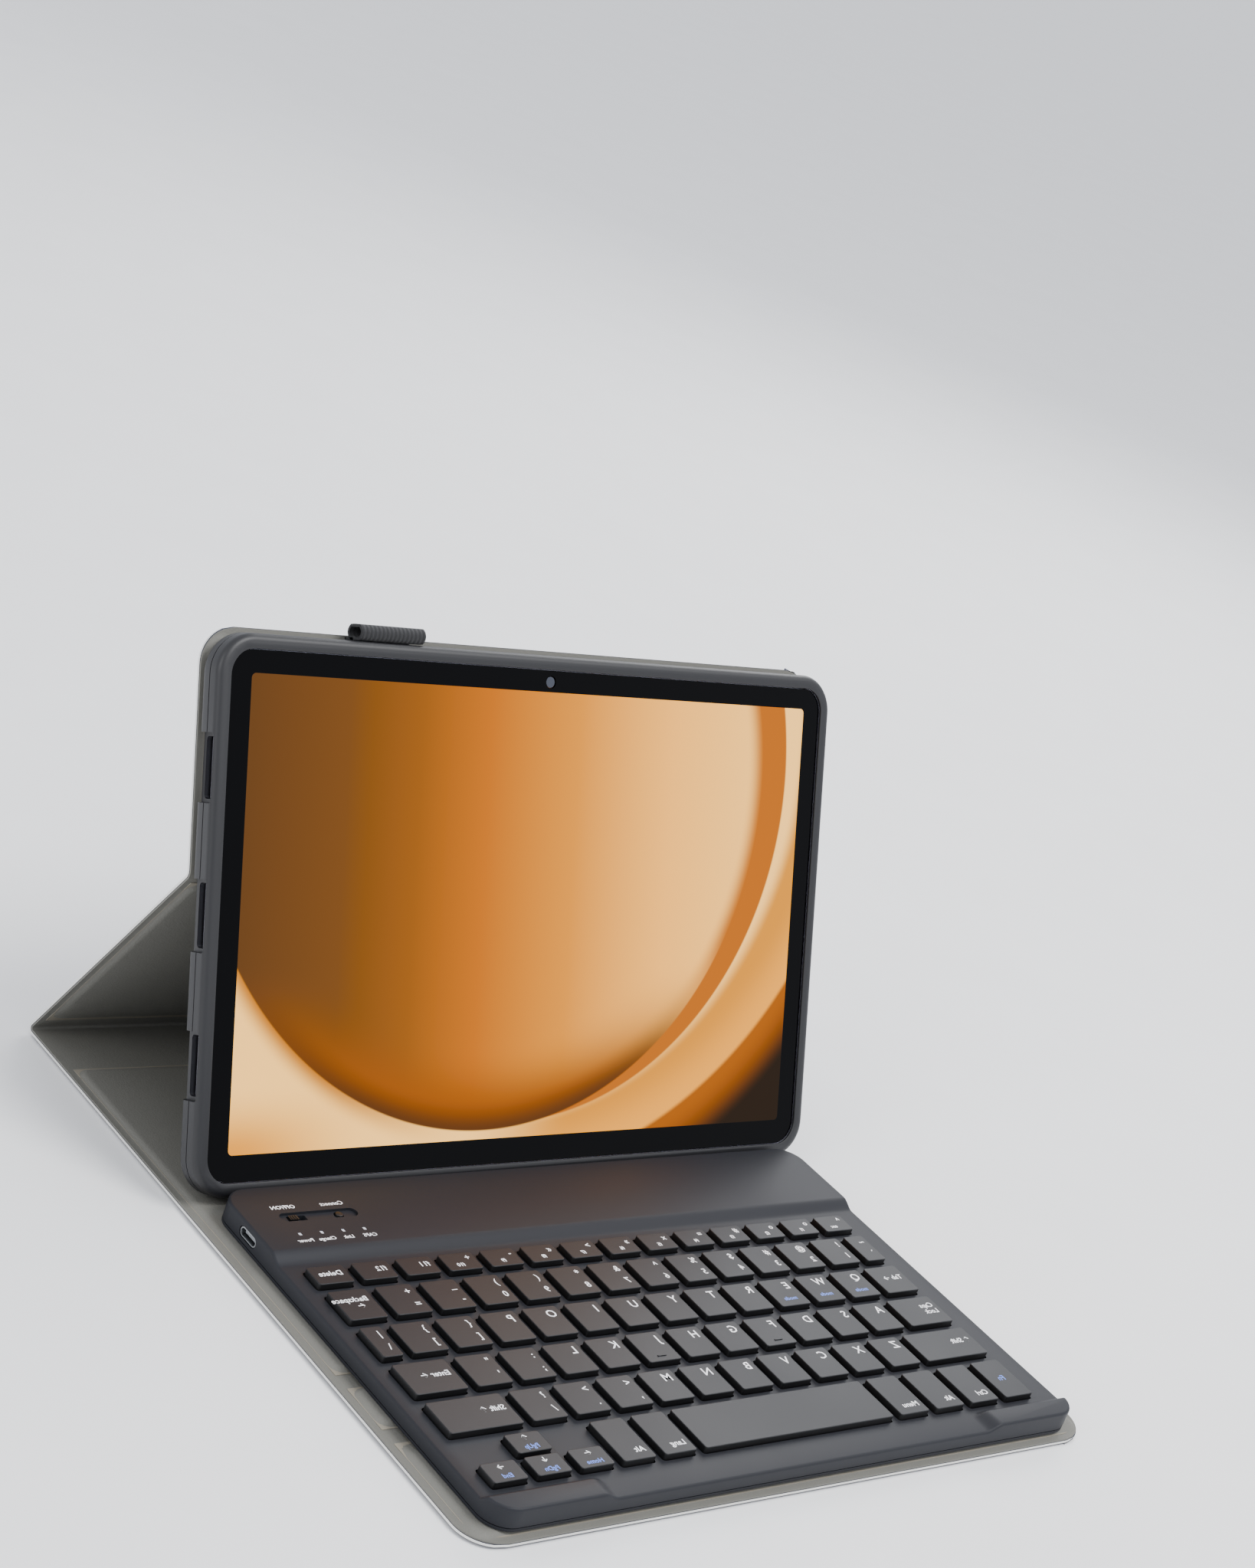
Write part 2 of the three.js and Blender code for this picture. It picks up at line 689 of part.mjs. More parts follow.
function keyboardTopShell() {
  const outside = prism(keyboardOutline(), shellSeamZ, humpZ);
  let solid = barAlongX(deckSideShape(), keyboardLeft, keyboardRight);
  const padRear = keyboardFront + padDepth;
  const padBottom = deckUndersideZ;
  solid = solid.add(box(keyboardLeft, keyboardLeft + padWidth, keyboardFront, padRear, padBottom, humpZ));
  solid = solid.add(box(keyboardRight - padWidth, keyboardRight, keyboardFront, padRear, padBottom, humpZ));
  solid = solid.intersect(outside);
  solid = solid.subtract(prism(keyboardOutline(keyboardWall), shellSeamZ - 1, deckUndersideZ));
  const left = keyboardLeft + keyboardWall;
  const right = keyboardRight - keyboardWall;
  const rear = keyboardRear - keyboardWall;
  const humpRadii = [0, 0, keyboardCornerRadius - keyboardWall, keyboardCornerRadius - keyboardWall];
  const humpInside = flatOutline(left, right, humpFrontY + gap, rear, humpRadii);
  solid = solid.subtract(prism(humpInside, shellSeamZ - 1, humpUndersideZ));
  for (const { keys } of keyGroups) {
    for (const key of keys) {
      const keyLeft = key.left - keyClearance;
      const keyRight = key.right + keyClearance;
      const keyFront = key.front - keyClearance;
      solid = solid.subtract(box(keyLeft, keyRight, keyFront, key.rear + keyClearance, shellSeamZ, humpZ + 1));
    }
  }
  const slotShape = evenOutline(
    slotLeft,
    slotLeft + slotLength,
    slotY - slotWidth / 2,
    slotY + slotWidth / 2,
    slotWidth / 2 - 0.01,
  );
  solid = solid.subtract(prism(slotShape, slotFloorZ, humpZ + 1));
  solid = solid.subtract(box(
    sliderLeft - controlClearance,
    sliderLeft + sliderLength + sliderTravel + controlClearance,
    slotY - sliderWidth / 2 - controlClearance,
    slotY + sliderWidth / 2 + controlClearance,
    humpUndersideZ - 1,
    humpZ,
  ));
  const buttonHole = pin(connectX, slotY, connectButtonRadius + controlClearance, humpUndersideZ - 1, humpZ);
  solid = solid.subtract(buttonHole);
  for (const window of lightBoxes(gap, humpUndersideZ - 1, humpZ + 1)) solid = solid.subtract(window);
  const socketHole = barAlongX(socketOutline(gap), keyboardLeft - 1, keyboardLeft + keyboardWall + 1);
  return piece("keyboard_top_shell", solid.subtract(socketHole), plastic);
}

function keyboardBottomShell() {
  const top = keyboardUnderside + bottomShellThickness;
  return piece("keyboard_bottom_shell", prism(keyboardOutline(), keyboardUnderside, top), plastic);
}

// Flat sheets under the keys, clear of the front wall and of the hump.
function underKeySheet(bottom, thickness) {
  const front = keyFieldFront - keyFlange;
  const rear = keyFieldRear + keyFlange;
  return box(insideLeft, insideRight, front, rear, bottom, bottom + thickness);
}

function powerSwitch() {
  const right = sliderLeft + sliderLength;
  const front = slotY - sliderWidth / 2;
  const rear = slotY + sliderWidth / 2;
  const knob = box(sliderLeft, right, front, rear, controlFlangeBottomZ, controlTopZ);
  const flangeTop = controlFlangeBottomZ + controlFlange;
  const overhang = controlFlange + controlClearance;
  const flange = box(
    sliderLeft - overhang - sliderTravel,
    right + overhang + sliderTravel,
    front - overhang,
    rear + overhang,
    controlFlangeBottomZ,
    flangeTop,
  );
  return piece("power_switch_slider", knob.add(flange), keyPlastic);
}

function connectButton() {
  const stem = pin(connectX, slotY, connectButtonRadius, controlFlangeBottomZ, controlTopZ);
  const flangeRadius = connectButtonRadius + controlFlange;
  const flange = pin(connectX, slotY, flangeRadius, controlFlangeBottomZ, humpUndersideZ - gap);
  return piece("connect_button", stem.add(flange), keyPlastic);
}

// One clear moulding that carries the light from the board up to the four windows.
function lightGuide() {
  const top = humpUndersideZ - gap;
  const bottom = top - controlFlange;
  const left = keyboardLeft + firstLightFromLeft - lightLength;
  const right = left + (lightCount - 1) * lightPitch + 2 * lightLength;
  let solid = box(left, right, lightsY - lightWidth, lightsY + lightWidth, bottom, top);
  for (const window of lightBoxes(0, bottom, humpZ - gap / 2)) solid = solid.add(window);
  return piece("indicator_light_guide", solid, lightPlastic);
}

function chargingSocket() {
  const left = keyboardLeft + gap;
  const right = left + socketLength;
  const shell = barAlongX(socketOutline(0), left, right);
  const hollow = barAlongX(socketOutline(-socketWall), left - 1, right - socketWall);
  const centreY = keyboardRear - socketFromRear;
  const centreZ = shellSeamZ + circuitBoardThickness + gap + socketHeight / 2;
  const tongueHalf = socketWidth / 3;
  const tongueFront = centreY - tongueHalf;
  const tongueLeft = left + 1;
  const thin = socketWall;
  const tongue = box(tongueLeft, right, tongueFront, centreY + tongueHalf, centreZ - thin, centreZ + thin);
  return piece("charging_socket", shell.subtract(hollow).add(tongue), sheetSteel);
}

function keyboardInside() {
  const membraneBottom = shellSeamZ + supportPlateThickness + gap;
  const boardFront = humpFrontY + 2 * gap;
  const boardRight = insideLeft + circuitBoardLength;
  const boardTopZ = shellSeamZ + circuitBoardThickness;
  const batteryLeft = boardRight + gap;
  const batteryRight = batteryLeft + batteryLength;
  const batteryRear = boardFront + batteryDepth;
  const magnetFront = keyboardMagnetY - magnetBarWidth / 2;
  const magnetRear = keyboardMagnetY + magnetBarWidth / 2;
  const halfBar = magnetBarLength / 2;
  const magnetTop = shellSeamZ + magnetThickness;
  const boardCorners = [0, 0, 0, keyboardCornerRadius - keyboardWall];
  const boardShape = flatOutline(insideLeft, boardRight, boardFront, insideRear, boardCorners);
  const circuitSolid = prism(boardShape, shellSeamZ, boardTopZ);
  const batteryTop = shellSeamZ + batteryThickness;
  const batterySolid = box(batteryLeft, batteryRight, boardFront, batteryRear, shellSeamZ, batteryTop);
  const magnetSolid = box(-halfBar, halfBar, magnetFront, magnetRear, shellSeamZ, magnetTop);
  return [
    piece("key_support_plate", underKeySheet(shellSeamZ, supportPlateThickness), sheetSteel),
    piece("contact_membrane", underKeySheet(membraneBottom, membraneThickness), lightPlastic),
    piece("keyboard_circuit_board", circuitSolid, circuit),
    piece("keyboard_battery", batterySolid, cell),
    piece("keyboard_magnet_bar", magnetSolid, magnet),
  ];
}

function keyboard() {
  const group = new THREE.Group();
  group.add(keyboardBottomShell(), keyboardTopShell(), ...keyboardInside());
  group.add(chargingSocket(), lightGuide(), powerSwitch(), connectButton());
  for (const keyGroup of keyGroups) group.add(keyPiece(keyGroup));
  return group;
}

const keyboardCase = new THREE.Group();
keyboardCase.add(flap(), flapSpine(), frontPanel(), rearSpine(), lowerBack(), standTop(), keyboard());

export default keyboardCase;
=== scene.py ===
"""Detailed look of a tablet keyboard case that stands open, on the frame of its CAD model."""
import json
import math

import bmesh
import bpy
from mathutils import Matrix, Vector


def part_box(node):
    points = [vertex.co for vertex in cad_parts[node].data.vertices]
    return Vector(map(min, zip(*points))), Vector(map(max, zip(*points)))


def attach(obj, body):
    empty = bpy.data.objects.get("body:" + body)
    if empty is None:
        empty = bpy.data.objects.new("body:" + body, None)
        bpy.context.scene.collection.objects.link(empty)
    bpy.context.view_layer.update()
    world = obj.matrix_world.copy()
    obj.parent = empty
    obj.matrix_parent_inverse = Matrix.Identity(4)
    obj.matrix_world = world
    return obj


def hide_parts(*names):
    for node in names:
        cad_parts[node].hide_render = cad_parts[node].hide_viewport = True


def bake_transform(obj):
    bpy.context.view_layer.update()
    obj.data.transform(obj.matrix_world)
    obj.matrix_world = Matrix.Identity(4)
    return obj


bl_info = {
    "name": "Tablet keyboard case",
    "version": (1, 0, 0),
    "blender": (4, 5, 0),
    "location": "View3D > Sidebar > Keyboard case",
    "description": "Builds the case's cover, tray, tablet and keyboard on the CAD frame",
    "category": "Add Mesh",
}

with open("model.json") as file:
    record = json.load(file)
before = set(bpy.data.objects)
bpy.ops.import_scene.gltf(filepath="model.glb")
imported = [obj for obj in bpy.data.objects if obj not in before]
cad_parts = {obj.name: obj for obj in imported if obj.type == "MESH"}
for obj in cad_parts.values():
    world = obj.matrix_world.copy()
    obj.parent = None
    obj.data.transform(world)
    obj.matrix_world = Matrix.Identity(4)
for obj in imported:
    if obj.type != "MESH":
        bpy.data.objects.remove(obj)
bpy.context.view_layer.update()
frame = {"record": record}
MM = 0.001


# ---- Sizes taken from the frame ----

def node_box(name):
    """The lowest and the highest corner of a CAD node at rest."""
    low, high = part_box(name)
    return Vector(low), Vector(high)


def joint_place(name):
    """A point on a joint's axis."""
    for joint in frame["record"]["behaviour"]["joints"]:
        if joint["name"] == name:
            return Vector(joint["pos_m"])
    raise RuntimeError("no joint " + name)


FLAP_LOW, FLAP_HIGH = node_box("flap_leather")
REAR_FOLD = joint_place("rear_fold")
STAND_FOLD = joint_place("back_fold")
FLAP_SPINE_FOLD = joint_place("flap_spine_fold")
FLAP_FOLD = joint_place("flap_fold")
SHELL_LOW, SHELL_HIGH = node_box("keyboard_top_shell")
UNDERSIDE = node_box("keyboard_bottom_shell")[0].z
GLASS_LOW, GLASS_HIGH = node_box("tablet_glass")
TRAY_TILT = math.radians(25)
TILT_SINE = math.sin(TRAY_TILT)
TILT_COSINE = math.cos(TRAY_TILT)
GLASS_THICKNESS = 0.7 * MM
GLASS_HEIGHT = (GLASS_HIGH.z - GLASS_LOW.z - GLASS_THICKNESS * TILT_SINE) / TILT_COSINE
BACK_LEAN = math.atan2(STAND_FOLD.z - REAR_FOLD.z, STAND_FOLD.y - REAR_FOLD.y)
LOWER_BACK_LENGTH = (STAND_FOLD - REAR_FOLD).length
COVER_WIDTH = FLAP_HIGH.x - FLAP_LOW.x

# The screen's frame: X along the screen, Y up it and Z out of it, from the glass's bottom edge.
SCREEN = Matrix.Translation((0, GLASS_LOW.y, GLASS_HIGH.z - GLASS_HEIGHT * TILT_COSINE))
SCREEN = SCREEN @ Matrix.Rotation(math.pi / 2 - TRAY_TILT, 4, "X")
GLASS_INSET = 4.9 * MM  # from the tray's outline to the glass


# ---- Settings ----

def size(name, default, description):
    """A length whose default is given in millimetres."""
    return bpy.props.FloatProperty(name=name, default=default * MM, unit="LENGTH",
                                   description=description)


def colour(name, default, description):
    """A colour as an sRGB hex code."""
    return bpy.props.StringProperty(name=name, default=default, description=description)


class CoverSettings(bpy.types.PropertyGroup):
    """Sizes and colours of the folding cover."""

    leather: size("Leather", 0.8, "Thickness of the outer synthetic leather")
    lining: size("Lining", 0.6, "Thickness of the inner lining")
    corner: size("Corner", 12, "Radius of the cover's free corners")
    bend: size("Rear bend", 2.6, "Outer radius of the bend behind the stand")
    grain: size("Grain", 1.1, "Size of a pebble in the leather's grain")
    navy: colour("Navy", "#121b33", "Outer leather")
    grey: colour("Grey", "#65645e", "Lining")
    edge: colour("Edge", "#d9d8d3", "Cut edge of the leather")


class TraySettings(bpy.types.PropertyGroup):
    """Sizes and colour of the soft tray."""

    corner: size("Corner", 13, "Radius of the tray's corners")
    rounding: size("Rounding", 2.2, "Radius of the rim's rounding")
    wall: size("Wall", 4.0, "Side wall from the tablet to the outside, with its play")
    lip: size("Lip", 0.65, "Overlap of the lip on the tablet")
    rubber: colour("Rubber", "#121215", "Soft tray")


class TabletSettings(bpy.types.PropertyGroup):
    """Sizes and colours of the tablet."""

    active_width: size("Picture width", 236.9, "Width of the lit picture")
    active_height: size("Picture height", 148.1, "Height of the lit picture")
    active_bottom: size("Picture bottom", 8.4, "From the glass's bottom edge to the picture")
    metal: colour("Metal", "#c9c9d6", "Tablet side")
    orange: colour("Orange", "#a65800", "Middle of the picture's disc")
    peach: colour("Peach", "#ffc266", "Light parts of the picture")
    brown: colour("Brown", "#4d2f10", "Dark parts of the picture")


class KeyboardSettings(bpy.types.PropertyGroup):
    """Sizes and colours of the keyboard."""

    corner: size("Corner", 9, "Radius of the housing's corners")
    edge: size("Edge", 0.9, "Rounding of the housing's top edge")
    deck: size("Deck", 5.5, "Deck height above the keyboard's underside")
    hump: size("Hump", 32, "Depth of the raised rear part")
    cove: size("Cove", 6, "Length of the slope from the hump to the deck")
    pad_depth: size("Pad depth", 10, "Depth of the raised front corner pads")
    pad_width: size("Pad width", 45, "Width of the raised front corner pads")
    flange: size("Flange", 0.75, "Hidden rim of a key's carrier")
    clearance: size("Clearance", 0.4, "Gap between a key and the deck")
    spacing: size("Key spacing", 3.5, "Gap between neighbouring keys")
    shell: colour("Housing", "#1f2024", "Moulded housing")
    cap: colour("Key top", "#191a1d", "Printed face of a key")
    # The key sides' near black is painted shade: every side wall of a key is darkened.
    cap_side_painted_shade: colour("Key side painted shade", "#040405", "Sides of a key")
    print_white: colour("White print", "#f2f2f4", "Key legends")
    print_blue: colour("Blue print", "#5f7fd6", "Second legends")


class StageSettings(bpy.types.PropertyGroup):
    """The stage's floor and light."""

    floor: colour("Floor", "#f2f2f2", "Floor")
    light: bpy.props.FloatProperty(name="Light", default=1.0, min=0, description="Strength of all lamps")


# ---- Materials ----

def linear(code):
    """An sRGB hex code as a linear colour."""
    parts = [int(code[i:i + 2], 16) / 255 for i in (1, 3, 5)]
    return [p / 12.92 if p <= 0.04045 else ((p + 0.055) / 1.055) ** 2.4 for p in parts] + [1.0]


def add_node(tree, kind, values=None, links=None, **settings):
    """Adds a node with its settings, its fixed inputs and its linked inputs."""
    made = tree.nodes.new(kind)
    for name, value in settings.items():
        setattr(made, name, value)
    for socket, value in (values or {}).items():
        made.inputs[socket].default_value = value
    for socket, source in (links or {}).items():
        tree.links.new(source, made.inputs[socket])
    return made


def new_material(name):
    """A new material with its tree and shader, or an existing one with neither."""
    if name in bpy.data.materials:
        return bpy.data.materials[name], None, None
    made = bpy.data.materials.new(name)
    made.use_nodes = True
    return made, made.node_tree, made.node_tree.nodes["Principled BSDF"]


def tone_and_relief(tree, shader, tone, dark, light, height, depth, strength):
    """Drifts the colour between two tones and raises the surface by a height."""
    mix = add_node(tree, "ShaderNodeMix", {6: linear(dark), 7: linear(light)}, {0: tone}, data_type="RGBA")
    tree.links.new(mix.outputs[2], shader.inputs["Base Color"])
    relief = add_node(tree, "ShaderNodeBump", {"Strength": strength, "Distance": depth},
                      {"Height": height})
    tree.links.new(relief.outputs["Normal"], shader.inputs["Normal"])


def embossed_leather(name, dark, light, grain, roughness):
    """Polyurethane leather pressed with a pebble grain: soft sheen, small cells with fine creases."""
    made, tree, shader = new_material(name)
    if tree is None:
        return made
    place = add_node(tree, "ShaderNodeTexCoord").outputs["Object"]
    cells = add_node(tree, "ShaderNodeTexVoronoi", {"Scale": 1 / grain}, {"Vector": place},
                     feature="SMOOTH_F1")
    fine = add_node(tree, "ShaderNodeTexNoise", {"Scale": 3.2 / grain, "Detail": 3.0}, {"Vector": place})
    broad = add_node(tree, "ShaderNodeTexNoise", {"Scale": 14.0, "Detail": 2.0}, {"Vector": place})
    height = add_node(tree, "ShaderNodeMath", {}, {0: cells.outputs["Distance"], 1: fine.outputs["Fac"]},
                      operation="ADD")
    tone_and_relief(tree, shader, broad.outputs["Fac"], dark, light, height.outputs[0], 0.12 * MM, 0.55)
    spread = add_node(tree, "ShaderNodeMapRange", {"To Min": roughness - 0.06, "To Max": roughness + 0.08},
                      {"Value": cells.outputs["Distance"]})
    tree.links.new(spread.outputs[0], shader.inputs["Roughness"])
    return made


def moulded(name, dark, light, roughness, grit=0.35 * MM, depth=0.02 * MM,
            metallic=0.0, coat=0.0, gloss=0.5):
    """Moulded or machined surface with a fine even texture and a slight drift of tone."""
    made, tree, shader = new_material(name)
    if tree is None:
        return made
    place = add_node(tree, "ShaderNodeTexCoord").outputs["Object"]
    fine = add_node(tree, "ShaderNodeTexNoise", {"Scale": 1 / grit, "Detail": 2.0}, {"Vector": place})
    broad = add_node(tree, "ShaderNodeTexNoise", {"Scale": 20.0, "Detail": 2.0}, {"Vector": place})
    tone_and_relief(tree, shader, broad.outputs["Fac"], dark, light, fine.outputs["Fac"], depth, 0.5)
    spread = add_node(tree, "ShaderNodeMapRange", {"To Min": roughness - 0.05, "To Max": roughness + 0.05},
                      {"Value": broad.outputs["Fac"]})
    tree.links.new(spread.outputs[0], shader.inputs["Roughness"])
    shader.inputs["Metallic"].default_value = metallic
    shader.inputs["Coat Weight"].default_value = coat
    shader.inputs["Specular IOR Level"].default_value = gloss
    return made


def woven_elastic():
    """Ribbed elastic tape: rubber cords under a black polyester weave, matt with a faint sheen."""
    made, tree, shader = new_material("woven_elastic_tape")
    if tree is None:
        return made
    rib_spacing = 0.8 * MM
    thread = 0.4 * MM  # drawn about twice as coarse as the real thread, to show
    place = add_node(tree, "ShaderNodeTexCoord").outputs["Object"]
    ribs = add_node(tree, "ShaderNodeTexWave", {"Scale": 1 / rib_spacing / 6.283, "Distortion": 0.3},
                    {"Vector": place}, bands_direction="X")
    threads = add_node(tree, "ShaderNodeTexNoise", {"Scale": 1 / thread, "Detail": 2.0}, {"Vector": place})
    height = add_node(tree, "ShaderNodeMath", {}, {0: ribs.outputs["Fac"], 1: threads.outputs["Fac"]},
                      operation="ADD")
    # The tone follows the ribs and is darker in their grooves: painted shade.
    tone_and_relief(tree, shader, ribs.outputs["Fac"], "#0b0b0d", "#18181b", height.outputs[0],
                    0.12 * MM, 0.7)
    shader.inputs["Roughness"].default_value = 0.9
    shader.inputs["Sheen Weight"].default_value = 0.2
    return made


def painted_shade_key_side():
    """Bare ABS round a key's printed face, darkened to near black as painted shade on the key's sides, so
    that each key stands out from the next.
    """
    settings = settings_of("keyboard_settings")
    return moulded("glossy_abs_key_walls_painted_shade", settings.cap_side_painted_shade, "#060607", 0.45)


def white_print():
    """Screen-printed ink: flat, slightly raised white."""
    settings = settings_of("keyboard_settings")
    return moulded("white_screen_print", settings.print_white, "#f8f8fa", 0.6)


def housing_plastic():
    """ABS from a spark-eroded mould: dark grey with an even, fine and nearly matt texture."""
    settings = settings_of("keyboard_settings")
    return moulded("spark_eroded_abs", settings.shell, "#232429", 0.5, gloss=0.2)


def paint(tree, under, over, *edges):
    """Lays a colour over another past smooth edges, each a distance with its start and end in mm."""
    factor = None
    for distance, start, end in edges:
        edge = add_node(tree, "ShaderNodeMapRange", {"From Min": start * MM, "From Max": end * MM},
                        {"Value": distance}, interpolation_type="SMOOTHSTEP").outputs[0]
        if factor is not None:
            edge = add_node(tree, "ShaderNodeMath", {}, {0: factor, 1: edge},
                            operation="MULTIPLY").outputs[0]
        factor = edge
    mix = add_node(tree, "ShaderNodeMix", {}, {0: factor}, data_type="RGBA")
    for socket, source in ((6, under), (7, over)):
        if isinstance(source, str):
            mix.inputs[socket].default_value = linear(source)
        else:
            tree.links.new(source, mix.inputs[socket])
    return mix.outputs[2]


def disc_distance(tree, place, centre_x, centre_y):
    """Distance in the screen's plane from a point of the picture, given in mm."""
    flat = add_node(tree, "ShaderNodeVectorMath", {1: (1, 1, 0)}, {0: place}, operation="MULTIPLY")
    values = {1: (centre_x * MM, centre_y * MM, 0)}
    return add_node(tree, "ShaderNodeVectorMath", values, {0: flat.outputs[0]},
                    operation="DISTANCE").outputs["Value"]


def disc_tones(tree, across, settings):
    """The disc's colour from the picture's left side to its right."""
    half = settings.active_width / 2
    ramp = add_node(tree, "ShaderNodeMapRange", {"From Min": -half, "From Max": half}, {"Value": across})
    tones = add_node(tree, "ShaderNodeValToRGB", {}, {0: ramp.outputs[0]})
    stops = ((0.0, settings.brown), (0.16, "#5c3710"), (0.28, "#7a450b"), (0.4, settings.orange),
             (0.56, "#c67a18"), (0.74, "#f0a746"), (1.0, settings.peach))
    elements = tones.color_ramp.elements
    while len(elements) < len(stops):
        elements.new(0.5)
    for element, (position, code) in zip(elements, stops):
        element.position = position
        element.color = linear(code)
    return tones.outputs[0]


def disc_picture(tree, place, across, up, settings):
    """A big shaded disc with pale bands and a dark crescent round its lower side."""
    disc_edge = disc_distance(tree, place, -18.5, 121.3)
    low_half = (up, 60, 10)
    disc = disc_tones(tree, across, settings)
    disc = paint(tree, disc, "#7f4000", (disc_edge, 90, 114), low_half)
    disc = paint(tree, disc, "#4a2808", (disc_edge, 108, 118.4), low_half)
    disc = paint(tree, disc, "#a3590a", (disc_edge, 111, 119), (up, 30, 70), (across, 0, 60))
    inner_ring = disc_distance(tree, place, -9.5, 135.7)
    outer_ring = disc_distance(tree, place, -11.0, 150.5)
    right_side = (across, -30, 20)
    band = paint(tree, settings.peach, "#c07a18", (inner_ring, 126, 133), right_side)
    for code, start, end in (("#dd9128", 145, 163), ("#8a4700", 162.5, 164.5), ("#1c1105", 165, 182)):
        band = paint(tree, band, code, (outer_ring, start, end), right_side)
    band = paint(tree, band, "#a8640c", (disc_edge, 126, 118), (across, -20, -90))
    band = paint(tree, band, "#cf8522", (up, 22, 0), (across, -60, -118))
    crescent = disc_distance(tree, place, -7.5, 124.0)
    band = paint(tree, "#9d5306", band, (crescent, 118.6, 119.4))
    return paint(tree, disc, band, (disc_edge, 118.0, 118.8))


def inside_picture(tree, place, settings):
    """1 inside the picture's rounded outline and 0 outside it."""
    corner = 1.6 * MM
    half_height = settings.active_height / 2
    core = (settings.active_width / 2 - corner, half_height - corner, 1.0)
    reach = place
    for operation, value in (("SUBTRACT", (0, half_height, 0)), ("ABSOLUTE", None), ("SUBTRACT", core),
                             ("MAXIMUM", (0, 0, 0))):
        values = {1: value} if value else {}
        reach = add_node(tree, "ShaderNodeVectorMath", values, {0: reach}, operation=operation).outputs[0]
    length = add_node(tree, "ShaderNodeVectorMath", {}, {0: reach}, operation="LENGTH").outputs["Value"]
    return add_node(tree, "ShaderNodeMath", {1: corner}, {0: length}, operation="LESS_THAN").outputs[0]


def lit_screen(settings):
    """Bonded cover glass over a lit panel: black border, warm picture of a big disc, clear gloss."""
    made, tree, shader = new_material("bonded_glass_over_lit_panel")
    if tree is None:
        return made
    rise = SCREEN @ Vector((0, settings.active_bottom, 0))
    source = add_node(tree, "ShaderNodeTexCoord")
    turned = add_node(tree, "ShaderNodeMapping",
                      {"Location": rise, "Rotation": (math.pi / 2 - TRAY_TILT, 0, 0)},
                      {"Vector": source.outputs["Object"]}, vector_type="TEXTURE")
    place = turned.outputs[0]
    split = add_node(tree, "ShaderNodeSeparateXYZ", {}, {0: place})
    picture = disc_picture(tree, place, split.outputs[0], split.outputs[1], settings)
    inside = inside_picture(tree, place, settings)
    lit = add_node(tree, "ShaderNodeMix", {6: linear("#000000")}, {0: inside, 7: picture},
                   data_type="RGBA")
    tree.links.new(lit.outputs[2], shader.inputs["Emission Color"])
    shader.inputs["Emission Strength"].default_value = 2.3
    shader.inputs["Base Color"].default_value = linear("#020203")
    shader.inputs["Roughness"].default_value = 0.1
    shader.inputs["Specular IOR Level"].default_value = 0.08
    return made


# ---- Modelling helpers ----

def deselect():
    if bpy.context.object and bpy.context.object.mode != "OBJECT":
        bpy.ops.object.mode_set(mode="OBJECT")
    bpy.ops.object.select_all(action="DESELECT")


def activate(piece):
    """Makes the piece the active one and the only selected one."""
    deselect()
    piece.select_set(True)
    bpy.context.view_layer.objects.active = piece


def settle(piece, matrix=None):
    """Puts the piece's place into its mesh, so that its object sits at the origin."""
    deselect()
    if matrix is not None:
        piece.matrix_world = matrix @ piece.matrix_world
    activate(piece)
    bpy.ops.object.transform_apply(location=True, rotation=True, scale=True)
    return piece


def apply_modifier(piece, kind, **values):
    activate(piece)
    modifier = piece.modifiers.new(kind.lower(), kind)
    for name, value in values.items():
        setattr(modifier, name, value)
    bpy.ops.object.modifier_apply(modifier=modifier.name)


def block(name, low, high):
    """A box between two corners, to be shaped further."""
    deselect()
    low, high = Vector(low), Vector(high)
    bpy.ops.mesh.primitive_cube_add(size=1, location=(low + high) / 2)
    piece = bpy.context.object
    piece.name = piece.data.name = name
    piece.scale = high - low
    return settle(piece)


def choose(piece, kind, test):
    """Selects the vertices, edges or faces of the piece in edit mode that pass a test."""
    bpy.context.view_layer.objects.active = piece
    if piece.mode != "EDIT":
        bpy.ops.object.mode_set(mode="EDIT")
    bpy.ops.mesh.select_mode(type=kind)
    bpy.ops.mesh.select_all(action="DESELECT")
    mesh = bmesh.from_edit_mesh(piece.data)
    mesh.normal_update()
    for item in {"VERT": mesh.verts, "EDGE": mesh.edges, "FACE": mesh.faces}[kind]:
        if test(item):
            item.select_set(True)
    mesh.select_flush_mode()
    bmesh.update_edit_mesh(piece.data)


def bevel_edges(piece, test, offset, segments):
    choose(piece, "EDGE", test)
    bpy.ops.mesh.bevel(offset=offset, segments=segments, affect="EDGES", clamp_overlap=True)
    bpy.ops.object.mode_set(mode="OBJECT")


def along(axis):
    """Edges that run along an axis."""
    def test(edge):
        direction = edge.verts[1].co - edge.verts[0].co
        return abs(direction[axis]) > 0.95 * direction.length
    return test


def rim_of(axis, side=0):
    """Edges between a flat end across an axis and the walls round it."""
    def test(edge):
        faces = [face.normal[axis] for face in edge.link_faces]
        if len(faces) != 2:
            return False
        flat = max(faces, key=abs)
        wall = min(faces, key=abs)
        return abs(flat) > 0.9 and abs(wall) < 0.6 and (side == 0 or flat * side > 0)
    return test


def rounded_block(name, low, high, axis, radius, segments=6):
    """A box whose edges along one axis are rounded."""
    piece = block(name, low, high)
    bevel_edges(piece, along(axis), radius, segments)
    return piece


def centred_block(name, place, half_x, half_y, bottom, top, radius, segments, axis=2):
    """A rounded box centred on a place, with its half sizes in mm."""
    x, y = place
    half_x, half_y = half_x * MM, half_y * MM
    return rounded_block(name, (x - half_x, y - half_y, bottom), (x + half_x, y + half_y, top),
                         axis, radius * MM, segments)


def cut(piece, cutter):
    apply_modifier(piece, "BOOLEAN", operation="DIFFERENCE", solver="EXACT", object=cutter)
    bpy.data.objects.remove(cutter, do_unlink=True)


